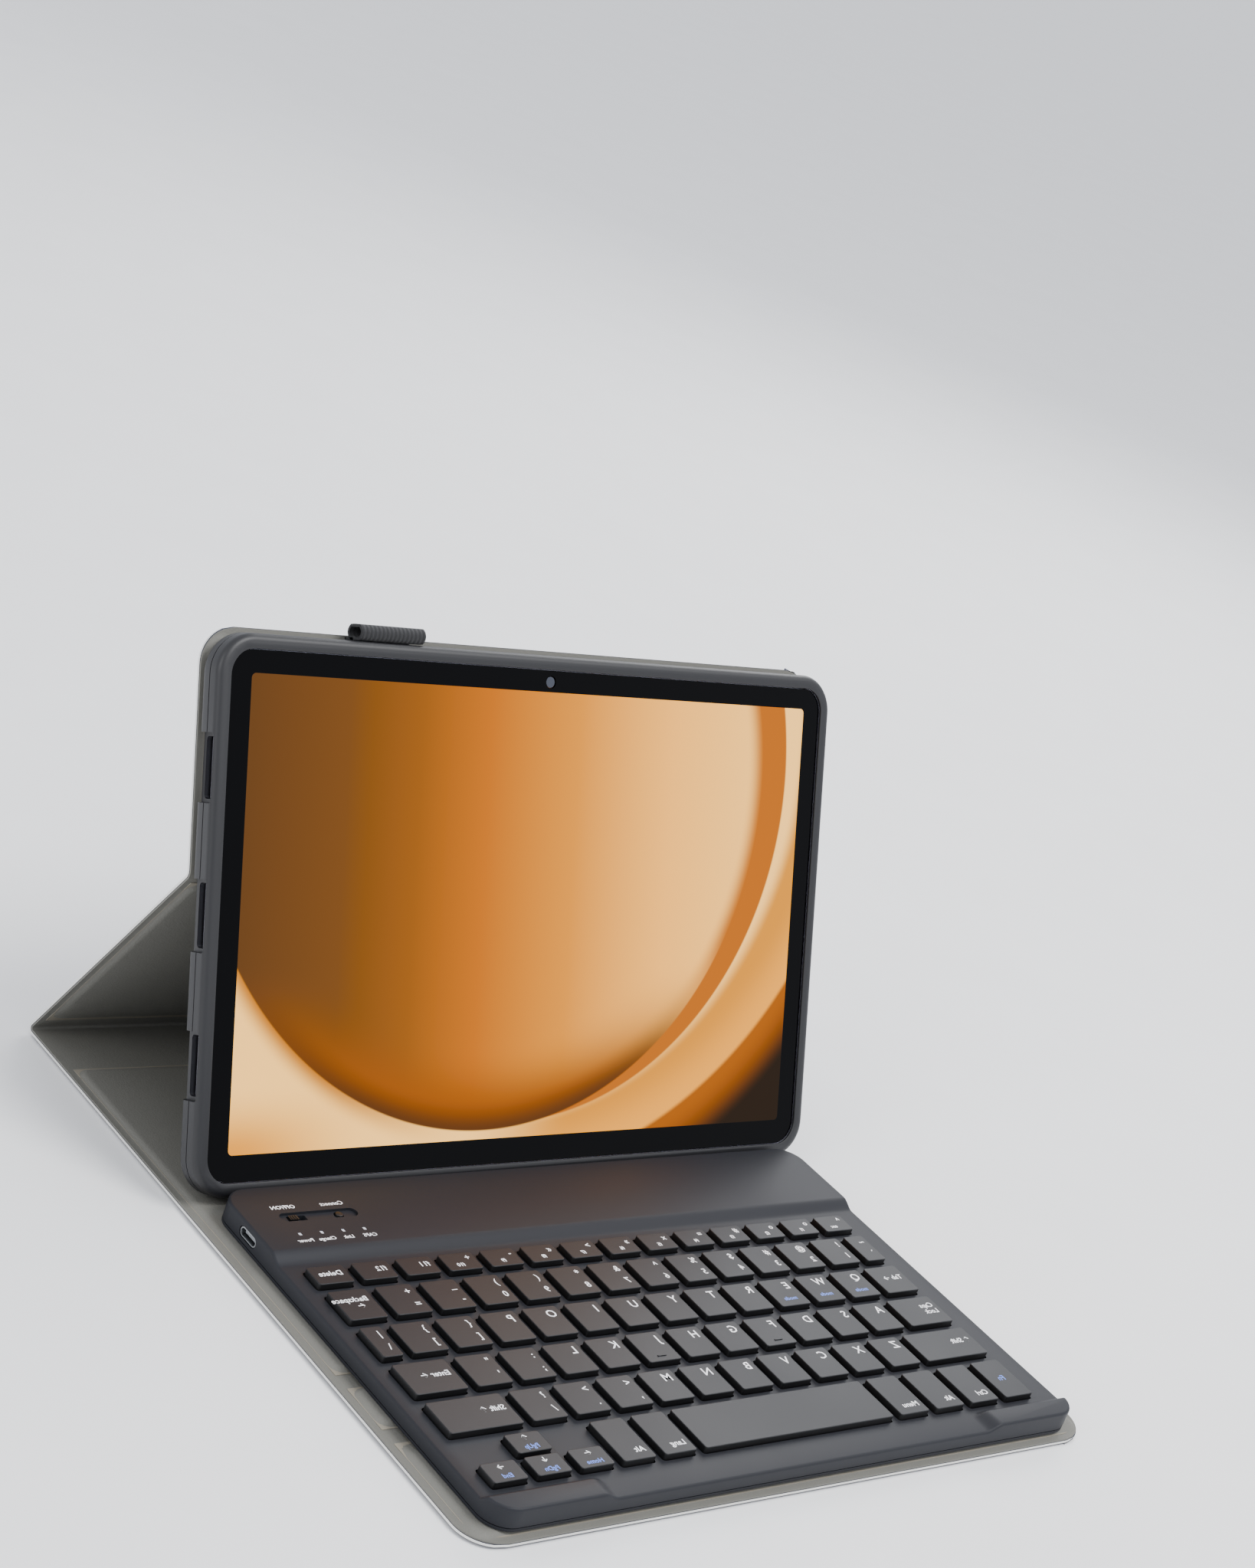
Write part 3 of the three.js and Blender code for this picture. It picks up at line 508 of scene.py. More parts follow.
def join(pieces, name):
    deselect()
    for piece in pieces:
        piece.select_set(True)
    bpy.context.view_layer.objects.active = pieces[0]
    if len(pieces) > 1:
        bpy.ops.object.join()
    joined = bpy.context.object
    joined.name = joined.data.name = name
    return joined


def finish_piece(piece, body, *materials, degrees=35):
    """Gives a piece its materials and its soft shading, and lets it ride on a body if one is named."""
    piece.data.materials.clear()
    for material in materials:
        piece.data.materials.append(material)
    activate(piece)
    bpy.ops.object.shade_smooth_by_angle(angle=math.radians(degrees))
    if body:
        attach(piece, body)
    return piece


def settings_of(name):
    return getattr(bpy.context.scene, name)


# ---- Cover ----

ROW_STEP = 6 * MM  # between the sheets' rows, away from folds and board edges
FINE_STEP = 0.9 * MM  # between rows and columns close to an edge
FOLD_BAND = 8 * MM  # finely divided on each side of a fold
TOP_BAND = 14 * MM  # finely divided at the upper back's rounded end
STAND_BEND = 2.0 * MM  # outer radius of the stand's fold
BOARD_EDGE = 2.2 * MM  # from the cover's side to its boards
BOARD_STEP = 2.6 * MM  # width of the slope beside a board
BOARD_CORNER = 5 * MM
HALF_LOWER_BACK = LOWER_BACK_LENGTH / 2
CUT_IN_SPINE = (FLAP_FOLD.y + FLAP_SPINE_FOLD.y) / 2
CUT_IN_PANEL = FLAP_SPINE_FOLD.y + 30 * MM

# The boards that lie flat, from front to rear, and the places that need fine rows.
LYING_BOARDS = [[corner.y for corner in node_box(name)]
                for name in ("flap_board", "flap_spine_board", "front_panel_board")]
FINE_PLACES = [place for board in LYING_BOARDS for place in board]
FINE_PLACES += [FLAP_LOW.y + 3 * MM, FLAP_LOW.y + 9 * MM]


class CoverPath:
    """The cover's outer face seen from the side, as places, inward directions and distances."""

    def __init__(self, y, z, heading):
        self.places = [(y, z)]
        self.headings = [heading]
        self.distances = [0.0]

    def add(self, y, z, heading):
        last_y, last_z = self.places[-1]
        step = math.hypot(y - last_y, z - last_z)
        if step < 1e-7:
            return
        self.places.append((y, z))
        self.headings.append(heading)
        self.distances.append(self.distances[-1] + step)

    def straight(self, length, steps):
        y, z = self.places[-1]
        heading = self.headings[-1]
        for step in range(1, steps + 1):
            part = length * step / steps
            self.add(y + part * math.cos(heading), z + part * math.sin(heading), heading)

    def turn(self, angle, radius, steps):
        y, z = self.places[-1]
        heading = self.headings[-1]
        side = math.copysign(1, angle)
        centre = (y - side * radius * math.sin(heading), z + side * radius * math.cos(heading))
        for step in range(1, steps + 1):
            now = heading + angle * step / steps
            self.add(centre[0] + side * radius * math.sin(now),
                     centre[1] - side * radius * math.cos(now), now)


def panel_relief(distance, across, panels):
    """1 on a board, 0 off every board, with a soft step and rounded corners between."""
    best = 0.0
    for start, end in panels:
        half_length = (end - start) / 2
        x = abs(across) - (COVER_WIDTH / 2 - BOARD_EDGE - BOARD_CORNER)
        y = abs(distance - (start + end) / 2) - (half_length - BOARD_CORNER)
        outside = math.hypot(max(x, 0), max(y, 0)) + min(max(x, y), 0) - BOARD_CORNER
        best = max(best, s_curve(-outside / BOARD_STEP))
    return best


def s_curve(value):
    """A smooth rise from 0 to 1."""
    value = min(max(value, 0), 1)
    return value * value * (3 - 2 * value)


def graded(low, high):
    """Places from low to high, close together near the ends and wide apart between."""
    band, middle_step = 7 * MM, 9 * MM
    places = [low]
    while places[-1] < high - 1e-9:
        here = places[-1]
        near = here < low + band or here > high - band - middle_step
        places.append(min(here + (FINE_STEP if near else middle_step), high))
    return places


def cover_sheet(name, path, panels, offsets, thickness, inset, front_round, rear_round):
    """A sheet of the cover: a grid laid along the path, lifted by the boards and given its thickness."""
    half = COVER_WIDTH / 2 - inset
    side_places = graded(-half, half)
    columns = len(side_places)
    rows = len(path.places)
    low_offset, high_offset = offsets
    deselect()
    bpy.ops.mesh.primitive_grid_add(x_subdivisions=columns - 1, y_subdivisions=rows - 1, size=1)
    piece = bpy.context.object
    piece.name = piece.data.name = name
    total = path.distances[-1]
    for row in range(rows):
        along_path = path.distances[row]
        y, z = path.places[row]
        heading = path.headings[row]
        narrow = 0.0
        for distance, radius in ((along_path - inset, front_round), (total - along_path - inset, rear_round)):
            reach = radius - inset
            if radius and distance < reach:
                part = reach - max(distance, 0)
                narrow = reach - math.sqrt(max(reach * reach - part * part, 0))
        shrink = (half - narrow) / half
        for column in range(columns):
            x = side_places[column] * shrink
            offset = low_offset + (high_offset - low_offset) * panel_relief(along_path, x, panels)
            spot = (x, y - offset * math.sin(heading), z + offset * math.cos(heading))
            piece.data.vertices[row * columns + column].co = spot
    apply_modifier(piece, "SOLIDIFY", thickness=thickness, offset=1)
    return piece


def spread_along(path, marks, end):
    """Adds straight rows up to the end, close together near each mark."""
    near_mark = 6 * MM
    while path.places[-1][0] < end - 1e-9:
        here = path.places[-1][0]
        near = any(abs(here - mark) < near_mark for mark in marks)
        path.straight(min(FINE_STEP if near else ROW_STEP, end - here), 1)


def boards_from(start):
    """The lying boards as distances from where a path starts."""
    return [(low - start, high - start) for low, high in LYING_BOARDS]


def rear_path():
    """From the front panel, round the rear fold and half way up the lower back, with its boards."""
    settings = settings_of("cover_settings")
    tangent = settings.bend * math.tan(BACK_LEAN / 2)
    outer_y = REAR_FOLD.y + settings.leather * math.sin(BACK_LEAN)
    outer_z = REAR_FOLD.z - settings.leather * math.cos(BACK_LEAN)
    past_fold = tangent - outer_z / math.sin(BACK_LEAN)  # from the fold to the end of the bend
    path = CoverPath(CUT_IN_PANEL, 0.0, 0.0)
    spread_along(path, FINE_PLACES, outer_y - outer_z / math.tan(BACK_LEAN) - tangent)
    path.turn(BACK_LEAN, settings.bend, 14)
    fold_at = path.distances[-1] - past_fold
    path.straight(FOLD_BAND, 9)
    path.straight(HALF_LOWER_BACK - FOLD_BAND - past_fold, 6)
    lower_back = (fold_at + 9 * MM, fold_at + LOWER_BACK_LENGTH)
    return path, boards_from(CUT_IN_PANEL) + [lower_back]


def stand_path(start, inset):
    """From half way up the lower back, over the stand's fold to the top, with its boards."""
    settings = settings_of("cover_settings")
    turn = BACK_LEAN - (math.pi / 2 - TRAY_TILT)
    lost = settings.leather * math.tan(turn / 2) + STAND_BEND * math.tan(turn / 2)  # to the bend, each side
    before = HALF_LOWER_BACK - lost
    after = (node_box("upper_back_leather")[1].z - STAND_FOLD.z) / TILT_COSINE - inset - lost
    path = CoverPath(*start, BACK_LEAN)
    path.straight(before - FOLD_BAND, 6)
    path.straight(FOLD_BAND, 9)
    path.turn(-turn, STAND_BEND, 8)
    path.straight(FOLD_BAND, 9)
    path.straight(after - FOLD_BAND - TOP_BAND, 6)
    path.straight(TOP_BAND, 16)
    fold_at = before + STAND_BEND * turn / 2
    fold_gap = 3 * MM
    boards = [(-HALF_LOWER_BACK, fold_at - fold_gap),
              (fold_at + fold_gap, path.distances[-1] + inset - 2.5 * MM)]
    return path, boards


def cover_sheets(kind, offsets, thickness, inset, *materials):
    """One layer of the whole cover, in four sheets that each cross one fold."""
    corner = settings_of("cover_settings").corner
    front = FLAP_LOW.y + inset
    flap_path = CoverPath(front, 0.0, 0.0)
    spread_along(flap_path, [front, front + 6 * MM] + FINE_PLACES, CUT_IN_SPINE)
    spine_path = CoverPath(CUT_IN_SPINE, 0.0, 0.0)
    spread_along(spine_path, FINE_PLACES, CUT_IN_PANEL)
    rear, rear_boards = rear_path()
    stand, stand_boards = stand_path(rear.places[-1], inset)
    forward = Vector((0, -1, 0))
    up_the_back = Vector((0, math.cos(BACK_LEAN) + 1, math.sin(BACK_LEAN))).normalized()
    up_the_stand = Vector((0, -0.06, 1)).normalized()
    # Name, path, boards, corner radii, bodies before and after the fold, fold, direction, panels.
    sheets = (
        ("flap", flap_path, boards_from(front), (corner, 0), ("flap_spine", "flap"),
         FLAP_FOLD, forward, ("flap",)),
        ("flap_spine", spine_path, boards_from(CUT_IN_SPINE), (0, 0), ("base", "flap_spine"),
         FLAP_SPINE_FOLD, forward, ("flap_spine",)),
        ("rear_fold", rear, rear_boards, (0, 0), ("base", "lower_back"),
         REAR_FOLD, up_the_back, ("front_panel", "rear_spine")),
        ("stand_fold", stand, stand_boards, (0, corner), ("lower_back", "upper_back"),
         STAND_FOLD, up_the_stand, ("lower_back", "upper_back")),
    )
    for name, path, boards, corners, bodies, fold, direction, panels in sheets:
        piece = cover_sheet("%s_%s_sheet" % (name, kind), path, boards, offsets, thickness, inset, *corners)
        finish_piece(piece, None, *materials, degrees=40)
        if len(materials) > 1:
            colour_cut_edge(piece)
        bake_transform(piece)
        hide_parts(*["%s_%s" % (panel, kind) for panel in panels])


def colour_cut_edge(piece):
    """Gives the second material to the cut edges: the sides, the front and the rounded corners."""
    for polygon in piece.data.polygons:
        middle, normal = polygon.center, polygon.normal
        from_side = COVER_WIDTH / 2 - abs(middle.x)
        on_side = abs(normal.x) > 0.9 and from_side < 1.2 * MM
        on_front = normal.y < -0.7 and middle.y < FLAP_LOW.y + 6 * MM
        on_corner = abs(normal.x) > 0.25 and middle.x * normal.x > 0 and from_side < 13 * MM
        if on_side or on_front or on_corner:
            polygon.material_index = 1


class COVER_OT_leather(bpy.types.Operator):
    """Model the navy outer leather of every panel"""

    bl_idname = "keyboard_case.cover_leather"
    bl_label = "Outer leather"

    def execute(self, context):
        settings = settings_of("cover_settings")
        # The pebble grain breaks the light into a soft, low sheen.
        navy = embossed_leather("pebbled_polyurethane_leather", settings.navy, "#16203b",
                                settings.grain, 0.55)
        # The cut shows the pale backing cloth as a thin, matt line.
        edge = moulded("pale_cut_leather_edge", settings.edge, "#e6e5e1", 0.7)
        cover_sheets("leather", (0.45 * MM, 0.0), settings.leather, 0.0, navy, edge)
        return {"FINISHED"}


class COVER_OT_lining(bpy.types.Operator):
    """Model the grey lining of every panel"""

    bl_idname = "keyboard_case.cover_lining"
    bl_label = "Lining"

    def execute(self, context):
        settings = settings_of("cover_settings")
        # A finer grain than the leather's, almost matt.
        grey = embossed_leather("fine_grained_lining", settings.grey, "#706f68", settings.grain * 0.6, 0.7)
        on_board = node_box("front_panel_lining")[0].z
        cover_sheets("lining", (1.3 * MM, on_board), settings.lining, 0.15 * MM, grey)
        return {"FINISHED"}


# ---- Tray, pencil loop and tablet ----

def tray_limits():
    """The tray's half width, bottom and top in the screen's frame."""
    low, high = node_box("tray")
    return (high.x - low.x) / 2, -GLASS_INSET, GLASS_HEIGHT + GLASS_INSET


SIDE_OPENINGS = (  # side, centre and length in mm up the screen, and whether a speaker is behind it
    (-1, 36.1, 19, True),
    (-1, 82.1, 20, False),
    (-1, 127.1, 19, True),
    (1, 36.1, 19, True),
    (1, 127.1, 19, True),
)
OPENING_CUTS = (  # name, depth from the side, spare length, rear, front and corner radius in mm
    ("opening", 8, 0, -7.0, -1.0, 1.2),
    ("recess", 2.2, 1.2, -9.5, -0.5, 0.8),
)


class TRAY_OT_tray(bpy.types.Operator):
    """Model the soft tray with its lip, parting line and side openings"""

    bl_idname = "keyboard_case.tray"
    bl_label = "Soft tray"

    def execute(self, context):
        settings = settings_of("tray_settings")
        half, bottom, top = tray_limits()
        rear, front = -8.5 * MM, 1.0 * MM
        piece = rounded_block("soft_tray", (-half, bottom, rear), (half, top, front), 2, settings.corner, 14)
        bevel_edges(piece, rim_of(2), settings.rounding, 6)
        self.press_parting_line(piece)
        cavity_wall = settings.wall - 0.3 * MM  # less the tablet's play
        lip_wall = settings.wall + settings.lip
        for name, wall, low, high, segments in (("cavity", cavity_wall, -6.7 * MM, 0.3 * MM, 10),
                                                ("mouth", lip_wall, -1 * MM, 2 * MM, 12)):
            cut(piece, rounded_block(name, (wall - half, bottom + wall, low), (half - wall, top - wall, high),
                                     2, settings.corner - wall, segments))
        for side, centre, length, _ in SIDE_OPENINGS:
            for name, depth, spare, low, high, corner in OPENING_CUTS:
                near, far = half - depth * MM, half + 1 * MM
                left, right = (-far, -near) if side < 0 else (near, far)
                reach = length / 2 + spare
                cut(piece, rounded_block(name, (left, (centre - reach) * MM, low * MM),
                                         (right, (centre + reach) * MM, high * MM), 0, corner * MM, 4))
        bevel_edges(piece, self.lip_edge_test(half - lip_wall, front), 0.3 * MM, 2)
        settle(piece, SCREEN)
        # Soft rubber straight from the mould: black and half matt, so that its rim shows a dull light.
        rubber = moulded("moulded_soft_rubber", settings.rubber, "#151518", 0.46, 0.5 * MM, 0.03 * MM)
        finish_piece(piece, "upper_back", rubber)
        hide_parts("tray")
        return {"FINISHED"}

    @staticmethod
    def press_parting_line(piece):
        """The fine groove round the wall where the mould's halves met."""
        parting, half_width = -3.9 * MM, 0.18 * MM
        for plane in (parting - half_width, parting + half_width):
            choose(piece, "FACE", lambda face: True)
            bpy.ops.mesh.bisect(plane_co=(0, 0, plane), plane_no=(0, 0, 1))
        choose(piece, "FACE", lambda face: abs(face.calc_center_median().z - parting) < 0.1 * MM)
        bpy.ops.mesh.inset(thickness=0.04 * MM, depth=-0.25 * MM)
        bpy.ops.object.mode_set(mode="OBJECT")

    @staticmethod
    def lip_edge_test(lip_side, front):
        rim = rim_of(2, 1)

        def test(edge):
            return rim(edge) and all(
                abs(vertex.co.z - front) < 0.02 * MM and abs(vertex.co.x) < lip_side + 0.01 * MM
                for vertex in edge.verts)
        return test


class TRAY_OT_pencil_loop(bpy.types.Operator):
    """Model the flattened elastic pencil loop and its tail"""

    bl_idname = "keyboard_case.pencil_loop"
    bl_label = "Pencil loop"

    def execute(self, context):
        low, high = node_box("pencil_loop")
        top = tray_limits()[2]
        height, depth, wall = 5.1 * MM, 8.0 * MM, 0.9 * MM
        gap = 0.3 * MM  # from the tray to the loop
        length = high.x - low.x
        deselect()
        bpy.ops.mesh.primitive_cylinder_add(vertices=40, radius=0.5, depth=1, end_fill_type="NOTHING",
                                            rotation=(0, math.pi / 2, 0))
        piece = settle(bpy.context.object)
        piece.scale = (length, height, depth)
        settle(piece)
        for vertex in piece.data.vertices:  # pressed flat on both sides
            level = 2 * vertex.co.z / depth
            flat = math.copysign(min(abs(vertex.co.y) * 1.25, height / 2), vertex.co.y)
            vertex.co.y = flat * (1 - 0.12 * level * level)
        apply_modifier(piece, "SOLIDIFY", thickness=wall, offset=-1)
        tape = block("tape", (-length / 2, -12 * MM - gap - height / 2, -5.3 * MM),
                     (length / 2, -height / 2 + wall * 0.9, -4.7 * MM))
        bridge = block("bridge", (-length / 2, -height / 2 + 0.02 * MM, -5.2 * MM),
                       (length / 2, -height / 2 + wall * 0.85, -1 * MM))
        piece = join([piece, tape, bridge], "elastic_pencil_loop")
        move = Matrix.Translation(((low.x + high.x) / 2, top + gap + height / 2, -4.5 * MM))
        settle(piece, SCREEN @ move)
        finish_piece(piece, "upper_back", woven_elastic())
        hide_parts("pencil_loop")
        return {"FINISHED"}


class TABLET_OT_details(bpy.types.Operator):
    """Add dark discs of painted shade for the speaker holes in the tablet's sides and dress its nodes"""

    bl_idname = "keyboard_case.tablet_details"
    bl_label = "Tablet details"

    def execute(self, context):
        settings = settings_of("tablet_settings")
        # Dark discs on the tablet's side are painted shade that stands for the inside of each speaker hole.
        mesh = moulded("painted_speaker_hole_shade", "#08080a", "#111114", 0.8, 0.3 * MM, 0.05 * MM)
        piece = self.speaker_holes(node_box("tablet_body")[1].x + 0.02 * MM)
        finish_piece(piece, "upper_back", mesh)
        # Blasted and anodised: a silvery, satin metal without streaks.
        dress("tablet_body", moulded("blasted_anodised_aluminium", settings.metal, "#d2d2de", 0.5,
                                     0.3 * MM, 0.01 * MM, metallic=1.0))
        dress("tablet_glass", lit_screen(settings))
        # The panel behind the glass, black when it is unlit.
        dress("tablet_display", moulded("liquid_crystal_panel", "#101014", "#17171c", 0.3))
        # The coating gives the small lens a blue, clear gloss.
        dress("tablet_front_camera", moulded("coated_lens_glass", "#0a0f1a", "#152138", 0.05, coat=1.0))
        return {"FINISHED"}

    @staticmethod
    def speaker_holes(side_x):
        """Seven thin round dark discs on the tablet's side behind each speaker's opening: painted shade in
        place of real holes.
        """
        holes = []
        for side, centre, _, speaker in SIDE_OPENINGS:
            for index in range(7 if speaker else 0):
                deselect()
                place = (side * side_x, (centre + (index - 3) * 2.3) * MM, -3.3 * MM)
                bpy.ops.mesh.primitive_uv_sphere_add(segments=12, ring_count=6, radius=0.75 * MM,
                                                     location=place)
                hole = bpy.context.object
                hole.scale = (0.1, 1, 1)
                holes.append(settle(hole))
        return settle(join(holes, "speaker_holes"), SCREEN)


def dress(node, material):
    """Gives a CAD node its material."""
    piece = bpy.data.objects[node]
    if not piece.material_slots:
        piece.data.materials.append(material)
    for slot in piece.material_slots:
        slot.material = material


# ---- Keyboard ----

PAD_SLOPE = 3 * MM  # behind each front corner pad
PAD_END_SLOPE = 7 * MM  # at each pad's inner end
PRINT_LIFT = 0.005 * MM  # of the printed words above their face
SWITCH_SLOT = (SHELL_LOW.x + 27.2 * MM, SHELL_HIGH.y - 16.7 * MM)  # its centre
SWITCH_WELL_X = SHELL_LOW.x + 19.3 * MM
LAMP_X = 14.7  # first indicator lamp from the housing's left side, in mm
LAMP_SPACING = 8.07
WHITE, BLUE = "white", "blue"
ROWS = {  # body: its keys from left to right as (width in mm or None, main word, upper word, blue word)
    "function_key_row": [(None, "Delete", "", "")]
    + [(None, "f%d" % number, sign, "") for number, sign in zip(range(12, 0, -1), ("", "", *"+-«>»x=#oo"))]
    + [(None, "esc", "^", "")],
    "backspace_key": [(None, "Backspace\n   ←", "", "")],
    "number_key_row": [(13.3, *pair, "") for pair in (
        ("=", "+"), ("-", "_"), ("0", ")"), ("9", "("), ("8", "*"), ("7", "&"), ("6", "^"), ("5", "%"),
        ("4", "$"), ("3", "#"), ("2", "@"), ("1", "!"))] + [(None, "`", "~", "")],
    "upper_letter_row": [(None, "\\", "|", ""), (13.3, "]", "}", ""), (13.3, "[", "{", "")]
    + [(13.3, letter, "", "mode" if letter in "QWE" else "") for letter in "POIUYTREWQ"],
    "tab_key": [(None, "Tab →", "", "")],
    "enter_key": [(None, "Enter ←", "", "")],
    "home_letter_row": [(13.3, "'", "\"", ""), (13.3, ";", ":", "")]
    + [(13.3, letter, "", "") for letter in "LKJHGFDS"] + [(None, "A", "", "")],
    "caps_lock_key": [(None, "Caps\nLock", "", "")],
    "left_shift_key": [(None, "Shift ↑", "", "")],
    "lower_letter_row": [(13.3, "/", "?", ""), (13.3, ".", ">", ""), (13.3, ",", "<", "")]
    + [(13.3, letter, "", "") for letter in "MNBVCX"] + [(None, "Z", "", "")],
    "right_shift_key": [(None, "↑ Shift", "", "")],
    "arrow_key_left": [(None, "→", "", "End")],
    "arrow_key_down": [(None, "↓", "", "PgDn")],
    "arrow_key_up": [(None, "↑", "", "PgUp")],
    "arrow_key_right": [(None, "←", "", "Home")],
    "inner_modifier_keys": [(12.6, "Alt", "", ""), (None, "Lang", "", "")],
    "space_key": [(None, "", "", "")],
    "outer_modifier_keys": [(13.1, "Menu", "", ""), (13.1, "Alt", "", ""), (13.1, "Ctrl", "", ""),
                            (None, "", "", "Fn")],
}


def key_places(body):
    """Left, right, front and rear of each key of a body."""
    settings = settings_of("keyboard_settings")
    low, high = node_box(body)
    left, right = low.x + settings.flange, high.x - settings.flange
    front, rear = low.y + settings.flange, high.y - settings.flange
    keys = ROWS[body]
    free = right - left - settings.spacing * (len(keys) - 1)
    free -= sum(width * MM for width, *_ in keys if width is not None)
    open_count = sum(1 for width, *_ in keys if width is None)
    places = []
    for width, *_ in keys:
        wide = free / open_count if width is None else width * MM
        places.append((left, left + wide, front, rear))
        left += wide + settings.spacing
    return places


def keycap(name, place, top, bottom, *materials):
    """One key: a rounded cap with a raised printed face and sides darkened with painted shade."""
    left, right, front, rear = place
    piece = rounded_block(name, (left, front, bottom), (right, rear, top), 2, 0.9 * MM, 4)
    choose(piece, "FACE", lambda face: face.normal.z > 0.9)
    bpy.ops.mesh.inset(thickness=0.28 * MM, depth=0.0)
    bpy.ops.object.mode_set(mode="OBJECT")
    bevel_edges(piece, rim_of(2, 1), 0.26 * MM, 3)
    finish_piece(piece, None, *materials)
    # Faces that point up take the printed face's colour, and every side takes the near black of painted
    # shade.
    for polygon in piece.data.polygons:
        polygon.material_index = 0 if polygon.normal.z > 0.35 else 1
    return piece


def word(text, x, y, z, height, side="CENTER"):
    """A printed word, mirrored as the whole case is, as a thin raised mesh."""
    deselect()
    bpy.ops.object.text_add(location=(0, 0, 0))
    letters = bpy.context.object.data
    letters.body = text
    letters.size = height
    letters.align_x = side
    letters.align_y = "CENTER"
    letters.resolution_u = 2
    letters.extrude = 0.012 * MM
    letters.offset = 0.05 * MM
    bpy.ops.object.convert(target="MESH")
    piece = bpy.context.object
    if not piece.data.vertices:
        raise RuntimeError("no letters for " + text)
    piece.scale = (-1, 1, 1)
    settle(piece)
    piece.location = (x, y, z)
    settle(piece)
    bpy.ops.object.mode_set(mode="EDIT")
    bpy.ops.mesh.select_all(action="SELECT")
    bpy.ops.mesh.remove_doubles(threshold=1e-7)
    bpy.ops.mesh.normals_make_consistent(inside=False)
    bpy.ops.object.mode_set(mode="OBJECT")
    return piece


def key_words(body, top):
    """The white and the blue words of one body's keys."""
    printed = {WHITE: [], BLUE: []}
    for (_, main, upper, second), (left, right, front, rear) in zip(ROWS[body], key_places(body)):
        start, middle = right - 1.9 * MM, (left + right) / 2
        words = []  # ink, word, place across, share of the key's depth, height in mm, side
        if upper and body == "function_key_row":
            words.append((WHITE, upper, start, 0.68, 3.4, "LEFT"))
            words.append((WHITE, main, right - 6.0 * MM, 0.3, 2.4, "LEFT"))
        elif upper:
            words.append((WHITE, upper, start, 0.74, 3.9, "LEFT"))
            words.append((WHITE, main, start, 0.3, 3.9, "LEFT"))
        elif (len(main) == 1 and not second) or (main and body == "upper_letter_row"):
            words.append((WHITE, main, start, 0.72, 4.9, "LEFT"))
        elif main and second:
            words.append((WHITE, main, middle, 0.72, 3.0, "CENTER"))
        elif main:
            rise = 0.22 if body in ("inner_modifier_keys", "outer_modifier_keys") else 0.55
            height = 3.2 if right - left > 11 * MM else 2.8
            words.append((WHITE, main, start, rise, height, "LEFT"))
        if second:
            rise, height = (0.26, 2.5) if main else (0.5, 3.4)
            words.append((BLUE, second, middle, rise, height, "CENTER"))
        for ink, text, x, rise, height, side in words:
            printed[ink].append(word(text, x, front + rise * (rear - front), top, height * MM, side))
    return printed


class KEYBOARD_OT_keys(bpy.types.Operator):
    """Model every key cap with its printed words"""

    bl_idname = "keyboard_case.keys"
    bl_label = "Keys"

    def execute(self, context):
        settings = settings_of("keyboard_settings")
        # Finely etched ABS: a dark, half matt face that takes the print.
        face = moulded("etched_abs_key_face", settings.cap, "#1c1d21", 0.46, gloss=0.28)
        # Screen-printed ink as on the main words, in a soft blue.
        blue = moulded("blue_screen_print", settings.print_blue, "#6d8ade", 0.6)
        prints = {WHITE: white_print(), BLUE: blue}
        for body in ROWS:
            low, high = node_box(body)
            places = key_places(body)
            caps = [keycap("%s_cap_%d" % (body, index), place, high.z, low.z + 0.4 * MM, face, painted_shade_key_side())
                    for index, place in enumerate(places, 1)]
            if body == "home_letter_row":
                caps += self.finding_bars(places, high.z, face)
            for cap in caps:
                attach(cap, body)
            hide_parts(body)
            for ink, words in key_words(body, high.z + PRINT_LIFT).items():
                if words:
                    piece = join(words, "%s_%s_print" % (body, ink))
                    finish_piece(piece, body, prints[ink])
        return {"FINISHED"}

    @staticmethod
    def finding_bars(places, top, face):
        """Small raised bars on the two home keys."""
        bars = []
        for index in (4, 7):
            left, right, front, _ = places[index]
            bar = centred_block("home_bar_%d" % index, ((left + right) / 2, front + 2.6 * MM), 1.8, 0.3,
                                top - 0.2 * MM, top + 0.25 * MM, 0.28, 3)
            bars.append(finish_piece(bar, None, face, painted_shade_key_side()))
        return bars


